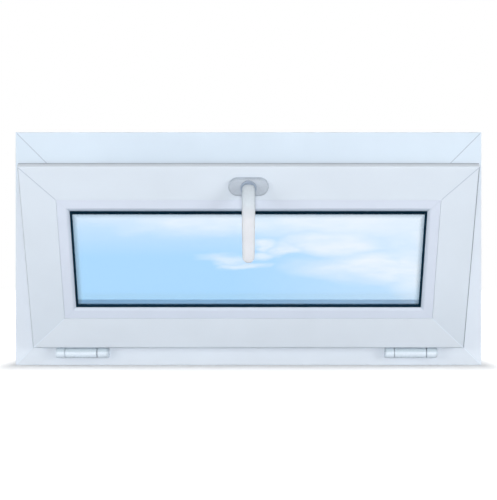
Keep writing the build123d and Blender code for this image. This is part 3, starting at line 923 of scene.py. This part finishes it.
@dataclass
class Rivet(Fastener):
    """The closed head of a stay's rivet."""

    radius: float = 0.0048
    crown: float = 0.0016
    rim_height: float = 0.0006
    rings: tuple[float, ...] = (0.86, 0.62, 0.32)

    def model(self) -> bpy.types.Object:
        """Models the crowned head, flat at its seat."""
        head = cylinder("rivet", self.radius, self.rim_height, (0, 0, self.rim_height / 2), (0, 0, 0), 32)
        with Shaping(head) as work:
            rise = self.rim_height
            spread = self.radius
            for share in self.rings:
                work.facing((0, 0, 1), lambda middle, at=rise: middle.z > at - 1e-6)
                height = self.crown * math.sqrt(1 - share**2)
                target = self.rim_height + height * (self.crown - self.rim_height) / self.crown
                work.push((0, 0, target - rise))
                size = self.radius * share / spread
                work.scale((size, size, 1.0), (0, 0, target))
                rise = target
                spread = self.radius * share
            work.tidy()
        smoothed(head, 50.0)
        return head


@dataclass
class Handle:
    """The tilt handle in the middle of the sash's top bar: an oval base and a lever that hangs down."""

    axis_height: float = 0.334
    seat_y: float = -0.046
    base_width: float = 0.064
    base_height: float = 0.030
    base_thickness: float = 0.009
    collar_radius: float = 0.013
    collar_thickness: float = 0.003
    base_rounding: float = 0.0044
    base_flat: float = 0.001
    collar_rounding: float = 0.0011
    collar_flat: float = 0.0012
    collar_dish: float = 0.0004
    sunk: float = 0.001
    corners: int = 64
    lever_corners: int = 8
    lever_line_y: float = -0.0890
    lever_sunk: float = 0.0006
    bend_radius: float = 0.020
    bend_steps: int = 6
    neck_half: Span = (0.0112, 0.0110)
    bend_half: Span = (0.0112, 0.0066)
    face_width: float = 1.75
    tip_height: float = 0.219
    grip_half_width: Span = (0.0112, 0.0104)
    grip_half_thickness: float = 0.0058
    grip_stations: tuple[Span, ...] = ((0.10, 0.94), (0.24, 0.74), (0.40, 0.5), (0.60, 0.25))
    tip_shares: tuple[float, ...] = (0.30, 0.62, 0.86, 0.99)
    cage_allowance: float = 1.04

    def build(self) -> None:
        """Models the base and the lever and hangs them on the open sash."""
        base = self.base()
        lever = self.lever()
        lever.data.materials.append(LEVER_ENAMEL.material())
        for piece, node in ((base, "handle_base"), (lever, "handle_lever")):
            swung(piece)
            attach(piece, "root")
            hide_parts(node)

    def base(self) -> bpy.types.Object:
        """Models the oval base and the round collar on it.

        Returns:
            The base on the closed sash.
        """
        front = self.seat_y - self.base_thickness
        lying = (math.pi / 2, 0, 0)
        radius = self.base_height / 2
        middle = (0, (self.seat_y + front) / 2, self.axis_height)
        oval = cylinder("handle_base_detail", radius, self.base_thickness, middle, lying, self.corners)
        stretch = self.base_width / 2 - radius
        with Shaping(oval) as work:
            for way in (-1, 1):
                work.pick(Part.POINTS, lambda point, way=way: point.co.x * way > 1e-5)
                work.move((way * stretch, 0, 0))
            work.ease((0, 1, 0), front, self.base_rounding, 6)
            work.facing((0, -1, 0))
            work.inset(self.base_flat)
            work.tidy()
        top = front - self.collar_thickness
        middle = (0, (front + self.sunk + top) / 2, self.axis_height)
        collar = cylinder(
            "collar", self.collar_radius, self.collar_thickness + self.sunk, middle, lying, self.corners
        )
        with Shaping(collar) as work:
            work.ease((0, 1, 0), top, self.collar_rounding, 3)
            work.facing((0, -1, 0))
            work.inset(self.collar_flat)
            work.move((0, self.collar_dish, 0))
            work.tidy()
        oval.data.materials.append(BASE_ENAMEL.material())
        collar.data.materials.append(COLLAR_SHADED_ENAMEL.material())
        whole = joined("handle_base_detail", [oval, collar])
        smoothed(whole, 35.0)
        return whole

    def lever(self) -> bpy.types.Object:
        """Models the lever: a round neck that bends down into a flat, slightly tapered grip with a round tip.

        Returns:
            The lever on the closed sash.
        """
        foot = self.seat_y - self.base_thickness - self.collar_thickness + self.lever_sunk
        bend_y = self.lever_line_y + self.bend_radius
        wide, deep = (half * self.cage_allowance for half in self.neck_half)
        middle = (0, (foot + bend_y) / 2, self.axis_height)
        lying = (math.pi / 2, math.pi / self.lever_corners, 0)
        lever = cylinder("handle_lever_detail", 1.0, foot - bend_y, middle, lying, self.lever_corners)
        axis = (0, 0, self.axis_height)
        with Shaping(lever) as work:
            bpy.ops.mesh.select_all(action="SELECT")
            work.scale((wide, 1.0, deep), axis)
            for way in (-1, 1):
                work.pick(Part.POINTS, lambda point, way=way: (point.co.z - axis[2]) * way > 0.7 * deep)
                work.scale((self.face_width, 1.0, 1.0), axis)
            self.bend(work)
            self.grip(work)
            work.tidy()
        subdivided(lever, 3)
        smoothed(lever, 60.0)
        return lever

    def bend(self, work: Shaping) -> None:
        """Bends the neck down by a quarter turn, flattening it on the way.

        Args:
            work: The lever in edit mode.
        """
        bend_y = self.lever_line_y + self.bend_radius
        centre = Vector((0, bend_y, self.axis_height - self.bend_radius))
        thinner = (self.bend_half[1] / self.neck_half[1]) ** (1 / self.bend_steps)
        narrower = (self.bend_half[0] / self.neck_half[0]) ** (1 / self.bend_steps)
        turn = math.radians(90 / self.bend_steps)
        work.facing((0, -1, 0))
        for number in range(1, self.bend_steps + 1):
            work.push((0, 0, 0))
            bpy.ops.transform.rotate(value=-turn, orient_axis="X", center_override=tuple(centre))
            outwards = Vector((0, -math.sin(turn * number), math.cos(turn * number)))
            work.scale((narrower, thinner, thinner), tuple(centre + outwards * self.bend_radius))

    def grip(self, work: Shaping) -> None:
        """Draws the grip down from the bend, tapering, and rounds its tip.

        Args:
            work: The lever in edit mode, its lower end face selected.
        """
        start = self.axis_height - self.bend_radius
        length = start - self.tip_height
        neck_wide, tip_wide = self.grip_half_width
        neck_deep, tip_deep = self.bend_half[1], self.grip_half_thickness
        sections = [(start, *self.bend_half)]
        for share, left_over in (*self.grip_stations, (1 - tip_wide / length, 0.0)):
            wide = tip_wide + (neck_wide - tip_wide) * (1 - share)
            sections.append((start - share * length, wide, tip_deep + (neck_deep - tip_deep) * left_over))
        for share in self.tip_shares:
            wide = tip_wide * (1 - share**2.6) ** 0.5
            sections.append((self.tip_height + tip_wide * (1 - share), wide, tip_deep * (1 - 0.5 * share**4)))
        for (height, wide, deep), (lower, new_wide, new_deep) in zip(sections, sections[1:]):
            work.push((0, 0, lower - height))
            work.scale((new_wide / wide, new_deep / deep, 1.0), (0, self.lever_line_y, lower))


@dataclass
class TiltHinge:
    """The frame's leaf of the hinges at the sash's foot: a plate with two rounded knuckles round the pin."""

    centre: float = 0.2805
    shift: float = -0.0023
    length: float = 0.090
    radius: float = 0.009
    short_knuckle: float = 0.015
    short_rounding: float = 0.0018
    cap_knuckle: float = 0.020
    cap_rounding: float = 0.0066
    cap_clear: float = 0.0006
    plate: float = 0.003
    plate_short: float = 0.002
    plate_easing: float = 0.0008
    easing: float = 0.0006

    def build(self, enamel: bpy.types.Material) -> None:
        """Models the leaf once and puts a copy at each side in place of the plain one.

        Args:
            enamel: The leaves' material.
        """
        first = self.leaf()
        first.data.materials.append(enamel)
        for side in Side:
            middle = side.value * self.centre + self.shift
            leaf = copied(first, f"{side.word}_hinge_knuckles", Matrix.Translation((middle, 0, 0)))
            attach(leaf, "root")
            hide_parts(f"{side.word}_hinge_frame_leaf")
            LOG.info("%s hinge made", side.word)
        bpy.data.objects.remove(first)

    def leaf(self) -> bpy.types.Object:
        """Models the leaf about the middle of the window.

        Returns:
            The leaf.
        """
        half = self.length / 2
        cap = half - self.cap_clear
        leaf = joined("hinge_knuckles", [
            self.knuckle("short", -half, self.short_knuckle - half, self.short_rounding),
            self.knuckle("cap", cap, half - self.cap_knuckle + self.cap_clear, self.cap_rounding),
            self.back_plate(half - self.plate_short),
        ])
        smoothed(leaf, 34.0)
        return leaf

    def knuckle(self, name: str, outer: float, inner: float, rounding: float) -> bpy.types.Object:
        """Models one knuckle round the pin, its back carried to the frame's face.

        Args:
            name: Its name.
            outer: Its outer end along X, which is rounded off.
            inner: Its inner end.
            rounding: How far the outer end is rounded.

        Returns:
            The knuckle.
        """
        middle = ((outer + inner) / 2, HINGE_AXIS.y, HINGE_AXIS.z)
        piece = cylinder(name, self.radius, abs(inner - outer), middle, (0, math.pi / 2, 0), 32)
        with Shaping(piece) as work:
            work.pick(Part.POINTS, lambda point: point.co.y > HINGE_AXIS.y + 1e-5)
            work.scale((1.0, 0.0, 1.0), (0, ROOM_FACE_Y, HINGE_AXIS.z))
            for at, width, rows in ((outer, rounding, 5), (inner, self.easing, 2)):
                work.pick(Part.EDGES, lambda edge, at=at: rim((1, 0, 0), at)(edge)
                          and max(point.co.y for point in edge.verts) < ROOM_FACE_Y - 1e-4)
                work.round_edges(width, rows)
            work.tidy()
        return piece

    def back_plate(self, half: float) -> bpy.types.Object:
        """Models the plate behind the barrel, its edges eased.

        Args:
            half: Half its length.

        Returns:
            The plate.
        """
        front = ROOM_FACE_Y - self.plate
        high = (half, ROOM_FACE_Y, HINGE_AXIS.z - self.plate_short)
        plate = cube("plate", (-half, front, HINGE_AXIS.z - self.radius), high)
        with Shaping(plate) as work:
            work.ease((0, 1, 0), front, self.plate_easing, 2)
        return plate


@dataclass(frozen=True)
class Ring:
    """A mitred ring of bars: its name, its place inside the window's edge, its bars' face and their front."""

    name: str
    inside: float
    face: float
    front: float
    swings: bool


@dataclass
class WeldSeams:
    """The welded mitres: a slim ridge of weld in the groove across each corner of frame and sash."""

    half_width: float = 0.0009
    below_face: float = 0.00014
    depth: float = 0.0006
    starts: float = 0.003
    stops_short: float = 0.0012
    rings: tuple[Ring, ...] = (
        Ring("frame", 0.0, 0.055, ROOM_FACE_Y, False),
        Ring("sash", 0.033, 0.058, ROOM_FACE_Y - 0.016, True),
    )

    def build(self, head_weld: bpy.types.Material, foot_weld: bpy.types.Material) -> int:
        """Lays the seams on the room side of both rings.

        Args:
            head_weld: The weld's material at the head.
            foot_weld: The weld's material at the foot, painted lighter so that the shade in its groove almost
                vanishes.

        Returns:
            How many were laid.
        """
        ridges = {ring: self.ridge(ring) for ring in self.rings}
        count = 0
        for side in Side:
            for word, material in (("foot", foot_weld), ("top", head_weld)):
                for ring, ridge in ridges.items():
                    place = self.corner(ring, side, word == "top")
                    seam = copied(ridge, f"{ring.name}_seam_{side.word}_{word}", place)
                    seam.data.materials.append(material)
                    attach(seam, "root")
                    count += 1
        for ridge in ridges.values():
            bpy.data.objects.remove(ridge)
        return count

    def ridge(self, ring: Ring) -> bpy.types.Object:
        """Models a ring's seam as a slim ridge that runs along X from the origin.

        Args:
            ring: The ring it is for.

        Returns:
            The ridge.
        """
        low = ring.front + self.below_face
        end = ring.face * math.sqrt(2) - self.stops_short
        bar = cube("seam", (self.starts, low, -self.half_width), (end, low + self.depth, self.half_width))
        with Shaping(bar) as work:
            work.facing((0, -1, 0))
            work.inset(self.half_width * 0.55)
            work.move((0, self.below_face * 0.6, 0))
            work.tidy()
        smoothed(bar, 30.0)
        return bar

    def corner(self, ring: Ring, side: Side, top: bool) -> Matrix:
        """Where a seam lies, along the diagonal of one corner.

        Args:
            ring: The ring it is on.
            side: Which side the corner is on.
            top: Whether it is a top corner.

        Returns:
            The way from the ridge as modelled to the open window.
        """
        x = side.value * (WINDOW_WIDTH / 2 - ring.inside)
        z = WINDOW_HEIGHT - ring.inside if top else ring.inside
        turn = math.atan2(-1 if top else 1, -side.value)
        place = Matrix.Translation((x, 0, z)) @ Matrix.Rotation(-turn, 4, "Y")
        return SWING @ place if ring.swings else place


@dataclass
class Hardware:
    """The small fixings of the stays, the locking rail and the keeps."""

    stay_inner: float = 0.339
    stay_outer: float = 0.3415
    bracket_face: float = 0.343
    slider_face: float = 0.333
    stay_y: float = -0.019
    pivot_height: float = 0.150
    groove_y: float = -0.020
    slider_height: float = 0.26612
    rail_top: float = 0.333
    rail_screws: tuple[float, ...] = (0.04, 0.13, 0.165, 0.235, 0.285)
    keep_offset: float = 0.228
    keep_screw: float = 0.016
    keep_face: float = 0.3425
    keep_y: float = -0.017
    screw_spread: float = 0.022

    def build(self, plating: bpy.types.Material) -> int:
        """Puts every screw and rivet in its place.

        Args:
            plating: Their material.

        Returns:
            How many were made.
        """
        screw = Screw(plating)
        rivet = Rivet(plating)
        for side in Side:
            self.stay(side, screw, rivet)
            self.keep(side, screw)
            for number, x in enumerate(self.rail_screws, 1):
                seat = (side.value * x, self.groove_y, self.rail_top)
                screw.put(f"{side.word}_rail_screw_{number}", seat, (0, 0, 1), True)
        total = screw.count + rivet.count
        screw.finish()
        rivet.finish()
        return total

    def stay(self, side: Side, screw: Screw, rivet: Rivet) -> None:
        """Fixes one stay: two screws in its bracket, two in its slider, and a rivet head at each pivot.

        Args:
            side: Which side the stay is on.
            screw: The screw to copy.
            rivet: The rivet to copy.
        """
        way = side.value
        for number, lift in enumerate((-self.screw_spread, self.screw_spread), 1):
            seat = (way * self.bracket_face, self.stay_y, self.pivot_height + lift)
            screw.put(f"{side.word}_bracket_screw_{number}", seat, (-way, 0, 0), False)
            seat = (way * self.slider_face, self.groove_y, self.slider_height + lift)
            screw.put(f"{side.word}_slider_screw_{number}", seat, (way, 0, 0), True)
        seat = (way * self.stay_inner, self.stay_y, self.pivot_height)
        rivet.put(f"{side.word}_bracket_rivet", seat, (-way, 0, 0), False)
        seat = (way * self.stay_outer, self.groove_y, self.slider_height)
        rivet.put(f"{side.word}_slider_rivet", seat, (way, 0, 0), True)

    def keep(self, side: Side, screw: Screw) -> None:
        """Fixes one keep to the frame's head with its two screws.

        Args:
            side: Which side the keep is on.
            screw: The screw to copy.
        """
        for number, shift in enumerate((-self.keep_screw, self.keep_screw), 1):
            seat = (side.value * self.keep_offset + shift, self.keep_y, self.keep_face)
            screw.put(f"{side.word}_keep_screw_{number}", seat, (0, 0, -1), False)


@dataclass(frozen=True)
class Lamp:
    """A soft square lamp: its name, its place, its side and its power in watts."""

    name: str
    place: Triple
    size: float
    watts: float

    def hang(self, target: Triple) -> None:
        """Hangs the lamp, turned to look at a point and itself unseen.

        Args:
            target: The point.
        """
        deselect()
        aim = (Vector(target) - Vector(self.place)).to_track_quat("-Z", "Y").to_euler()
        bpy.ops.object.light_add(type="AREA", radius=self.size, location=self.place, rotation=aim)
        lamp = bpy.context.view_layer.objects.active
        lamp.name = self.name
        lamp.data.shape = "SQUARE"
        lamp.data.size = self.size
        lamp.data.energy = self.watts
        lamp.visible_camera = False
        lamp.visible_glossy = False
        lamp.visible_transmission = False


@dataclass
class Studio:
    """The white floor, the white surround, soft lamps and the camera."""

    eye: Triple = (0.0, -2.186, 0.1977)
    lens: float = 90.4
    surround_light: float = 0.2
    floor_size: float = 8.0
    floor_colour: Colour = (0.62, 0.63, 0.64, 1.0)
    # How much the floor glows at the window's foot, which sets the depth of its painted shadow.
    floor_lift: float = 0.25
    clear_from: Span = (0.012, 0.16)
    target: Triple = (0.0, 0.0, 0.2)
    lamps: tuple[Lamp, ...] = (
        Lamp("front_lamp", (0.0, -3.2, 0.26), 0.55, 49.5),
        Lamp("left_lamp", (-2.2, -2.0, 0.60), 1.0, 20.0),
        Lamp("right_lamp", (2.2, -2.0, 0.50), 1.0, 24.0),
        Lamp("top_lamp", (0.0, 0.5, 2.8), 1.6, 14.0),
        Lamp("back_lamp", (0.0, 3.2, 0.95), 1.6, 50.0),
        Lamp("left_rear_lamp", (-2.7, 1.2, 0.95), 1.4, 26.0),
        Lamp("right_rear_lamp", (2.7, 1.2, 0.95), 1.4, 26.0),
    )

    def build(self) -> None:
        """Sets the studio up round the window."""
        self.camera()
        self.surround()
        self.floor()
        for lamp in self.lamps:
            lamp.hang(self.target)
        bpy.context.scene.view_settings.view_transform = "Standard"

    def camera(self) -> None:
        """Sets the camera straight before the window, level with its middle."""
        deselect()
        bpy.ops.object.camera_add(location=self.eye, rotation=(math.pi / 2, 0, 0))
        camera = bpy.context.view_layer.objects.active
        camera.data.lens = self.lens
        camera.data.sensor_width = 36.0
        camera.data.clip_start = 0.01
        bpy.context.scene.camera = camera

    def surround(self) -> None:
        """Makes the world white to look at and softer as light."""
        graph = Graph("white_surround", world=True)
        rays = graph.add("LightPath").outputs
        seen = graph.maths("ADD", rays["Is Camera Ray"], rays["Is Glossy Ray"])
        shown = graph.maths("ADD", seen, rays["Is Transmission Ray"])
        shown.node.use_clamp = True
        light = graph.add("Background", Color=grey(1.0), Strength=self.surround_light)
        white = graph.add("Background", Color=grey(1.0), Strength=1.0)
        bpy.context.scene.world = graph.surface(graph.mixed(shown, light, white))

    def floor(self) -> None:
        """Lays the white floor, which keeps the window's shadow and carries a painted shadow round its foot.
        """
        deselect()
        bpy.ops.mesh.primitive_plane_add(size=self.floor_size, location=(0, 0, 0))
        floor = started("floor")
        graph = Graph("floor_white")
        rays = graph.add("LightPath").outputs
        paint = graph.add("BsdfDiffuse", Color=self.floor_colour)
        seen = graph.maths("MAXIMUM", rays["Is Camera Ray"], rays["Is Glossy Ray"])
        strength = graph.maths("MULTIPLY", seen, self.lift(graph))
        glow = graph.add("Emission", Color=grey(1.0), Strength=strength)
        both = graph.joining("AddShader", None, paint.outputs[0], glow.outputs[0])
        white = graph.add("Emission", Color=grey(1.0), Strength=1.0)
        floor.data.materials.append(graph.surface(graph.mixed(rays["Is Transmission Ray"], both, white)))

    def lift(self, graph: Graph) -> bpy.types.NodeSocket:
        """How white the floor glows at each point; the glow dips round the window's foot, which paints a
        shadow there.

        Args:
            graph: The floor's nodes.

        Returns:
            A little under the window, where the painted shadow lies over its real one, and full further out.
        """
        where = graph.axes()
        beyond = graph.add("CombineXYZ")
        # The painted shadow reaches three times less far beside the window than before it.
        for axis, half, quickening in (("X", WINDOW_WIDTH / 2, 3.0), ("Y", -ROOM_FACE_Y, 1.0)):
            outside = graph.maths("SUBTRACT", graph.maths("ABSOLUTE", where[axis]), half)
            reach = graph.maths("MULTIPLY", graph.maths("MAXIMUM", outside, 0.0), quickening)
            graph.feed(beyond.inputs[axis], reach)
        distance = graph.vector("LENGTH", beyond.outputs[0]).outputs["Value"]
        return graph.ranged(distance, self.clear_from, (self.floor_lift, 1.0))


PVC = shade(215, 223, 232)
ENAMEL = shade(224, 235, 245)
# Painted sheen: the frame's head is painted a shade bluer, for the blue sky shining on it.
PVC_SKY_SHEEN = shade(214, 227, 239)
# Painted light: the frame's stiles are painted a shade lighter, to undo the shade that the tilted sash casts
# on them.
PVC_STILE_LIT = shade(221, 229, 239)
# Painted shade: the sash's stiles and top rail are painted a shade darker than the frame, to undo the light
# that the floor throws up onto the leaning sash.
SASH_PVC_SHADED = shade(210, 219, 229)
FRAME_ACROSS = WhiteProfile("frame_profile_across", PVC, PVC_SKY_SHEEN, Run.ACROSS)
FRAME_UPRIGHT = WhiteProfile("frame_profile_upright", PVC_STILE_LIT, PVC_SKY_SHEEN, Run.UPRIGHT)
SASH_ACROSS = WhiteProfile("sash_profile_across", PVC, SASH_PVC_SHADED, Run.ACROSS, head_from=(0.13, 0.24))
SASH_UPRIGHT = SashStile("sash_profile_upright", SASH_PVC_SHADED, SASH_PVC_SHADED, Run.UPRIGHT)
# Painted shade: the beads are painted a shade darker than the sash, standing in for the shade on them.
BEAD_PVC_SHADED = shade(207, 215, 229)
BEAD_ACROSS = BeadProfile("bead_across", BEAD_PVC_SHADED, BEAD_PVC_SHADED, Run.ACROSS)
BEAD_UPRIGHT = BeadProfile("bead_upright", BEAD_PVC_SHADED, BEAD_PVC_SHADED, Run.UPRIGHT)
DARK_RUBBER = SoftSeal("dark_rubber", shade(14, 40, 56), shade(26, 52, 68), ior=1.3, gleam=0.0)
# Painted light: the outer glazing seal is painted a light grey-blue, to lighten the dark line it shows
# through the pane's foot.
LIGHTENED_RUBBER = SoftSeal("lightened_rubber", shade(92, 112, 128), shade(140, 158, 172))
GREY_RUBBER = SoftSeal("grey_rubber", shade(166, 174, 186), shade(182, 189, 199))
# Painted shade: the hinges' enamel is painted darker above the pin, for the shadow of the sash's foot over
# them.
WHITE_ENAMEL = CoatedMetal("white_enamel", ENAMEL, painted_shade=shade(188, 202, 212), fade=(0.0226, 0.0258))
BASE_ENAMEL = CoatedMetal("base_enamel", shade(176, 185, 196))
# Painted shade: the collar is painted darker than the base, for the shade round the lever's neck.
COLLAR_SHADED_ENAMEL = CoatedMetal("collar_enamel", shade(152, 165, 182))
# Painted shade: the lever is painted darker towards its upper bend, which faces up away from the lamps.
LEVER_ENAMEL = CoatedMetal(
    "lever_enamel", shade(221, 223, 228), painted_shade=shade(197, 206, 214), fade=(0.244, 0.272)
)
PLATED_STEEL = ZincSteel("zinc_plating", shade(202, 206, 212), shade(168, 174, 182))
SPACER_STRIP = SpacerMetal("mill_aluminium", shade(196, 201, 207), shade(40, 46, 54))
HEAD_WELD = MouldedCap("head_weld", shade(184, 195, 209))
# Painted light: the foot's weld is painted lighter than the plastic, so that the shade in its groove almost
# vanishes.
FOOT_WELD = MouldedCap("foot_weld", shade(220, 230, 241))
CAP_PLASTIC = MouldedCap("moulded_cap", PVC)
# Painted sky: the drifts of cloud painted on the inner pane, and its blue, stand for the sky seen in the
# glass.
CLOUD_DRIFTS = (
    Drift(0.150, 0.208, 0.090, 0.026),
    Drift(0.215, 0.166, 0.155, 0.028),
    Drift(0.030, 0.205, 0.026, 0.009, 0.9),
    Drift(0.036, 0.190, 0.030, 0.009, 0.85),
    Drift(0.072, 0.201, 0.036, 0.011, 0.9),
    Drift(-0.042, 0.182, 0.046, 0.010, 0.8),
    Drift(-0.008, 0.172, 0.046, 0.008, 0.75),
    Drift(0.150, 0.246, 0.220, 0.030, 0.8),
    Drift(-0.060, 0.246, 0.170, 0.028, 0.8),
    Drift(-0.190, 0.262, 0.160, 0.024, 0.45),
    Drift(0.290, 0.180, 0.075, 0.075, 0.95),
)
SKY_PANE = PaneGlass(
    "sky_glass", shade(175, 220, 255), shade(224, 239, 255), shade(243, 248, 255), CLOUD_DRIFTS
)
CLEAR_PANE = PaneGlass("clear_glass", shade(250, 253, 254), shade(250, 253, 254), shade(250, 253, 254))


def dress_solids(plating: bpy.types.Material, enamel: bpy.types.Material) -> None:
    """Gives every solid of the window its finish.

    Args:
        plating: The zinc plating, shared with the fixings.
        enamel: The white enamel, shared with the handle and hinges.
    """
    FRAME_ACROSS.dress(["frame_bottom_rail", "frame_top_rail"])
    FRAME_UPRIGHT.dress(["frame_left_stile", "frame_right_stile"])
    SASH_ACROSS.dress(["sash_bottom_rail", "sash_top_rail"])
    SASH_UPRIGHT.dress(["sash_left_stile", "sash_right_stile"])
    BEAD_ACROSS.dress(["glazing_bead_bottom", "glazing_bead_top"])
    BEAD_UPRIGHT.dress(["glazing_bead_left", "glazing_bead_right"])
    DARK_RUBBER.dress(["bead_seal"])
    LIGHTENED_RUBBER.dress(["outer_glazing_seal"])
    GREY_RUBBER.dress(["frame_seal", "sash_seal"])
    SKY_PANE.dress(["inner_pane"])
    CLEAR_PANE.dress(["outer_pane"])
    SPACER_STRIP.dress(["spacer_bar"])
    CAP_PLASTIC.dress(["left_drain_cap", "right_drain_cap"])
    WHITE_ENAMEL.dress([
        "left_hinge_sash_leaf", "right_hinge_sash_leaf", "left_hinge_frame_leaf", "right_hinge_frame_leaf",
        "handle_base", "handle_lever",
    ], enamel)
    PLATED_STEEL.dress([
        "left_hinge_pin", "right_hinge_pin", "left_stay_bracket", "right_stay_bracket", "left_stay_arm",
        "right_stay_arm", "left_stay_slider", "right_stay_slider", "left_keep", "right_keep",
        "lock_faceplate", "lock_drive_bar",
    ], plating)


def main() -> None:
    """Builds and dresses the window, one sub-assembly after another."""
    logging.basicConfig(level=logging.INFO, format="%(name)s: %(message)s")
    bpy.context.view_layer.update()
    plating = PLATED_STEEL.material()
    enamel = WHITE_ENAMEL.material()
    dress_solids(plating, enamel)
    LOG.info("%d solids dressed", len(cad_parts))
    Handle().build()
    LOG.info("handle made")
    TiltHinge().build(enamel)
    LOG.info("%d weld seams laid", WeldSeams().build(HEAD_WELD.material(), FOOT_WELD.material()))
    LOG.info("%d fixings made", Hardware().build(plating))
    Studio().build()
    LOG.info("studio set")


if __name__ == "__main__":
    main()
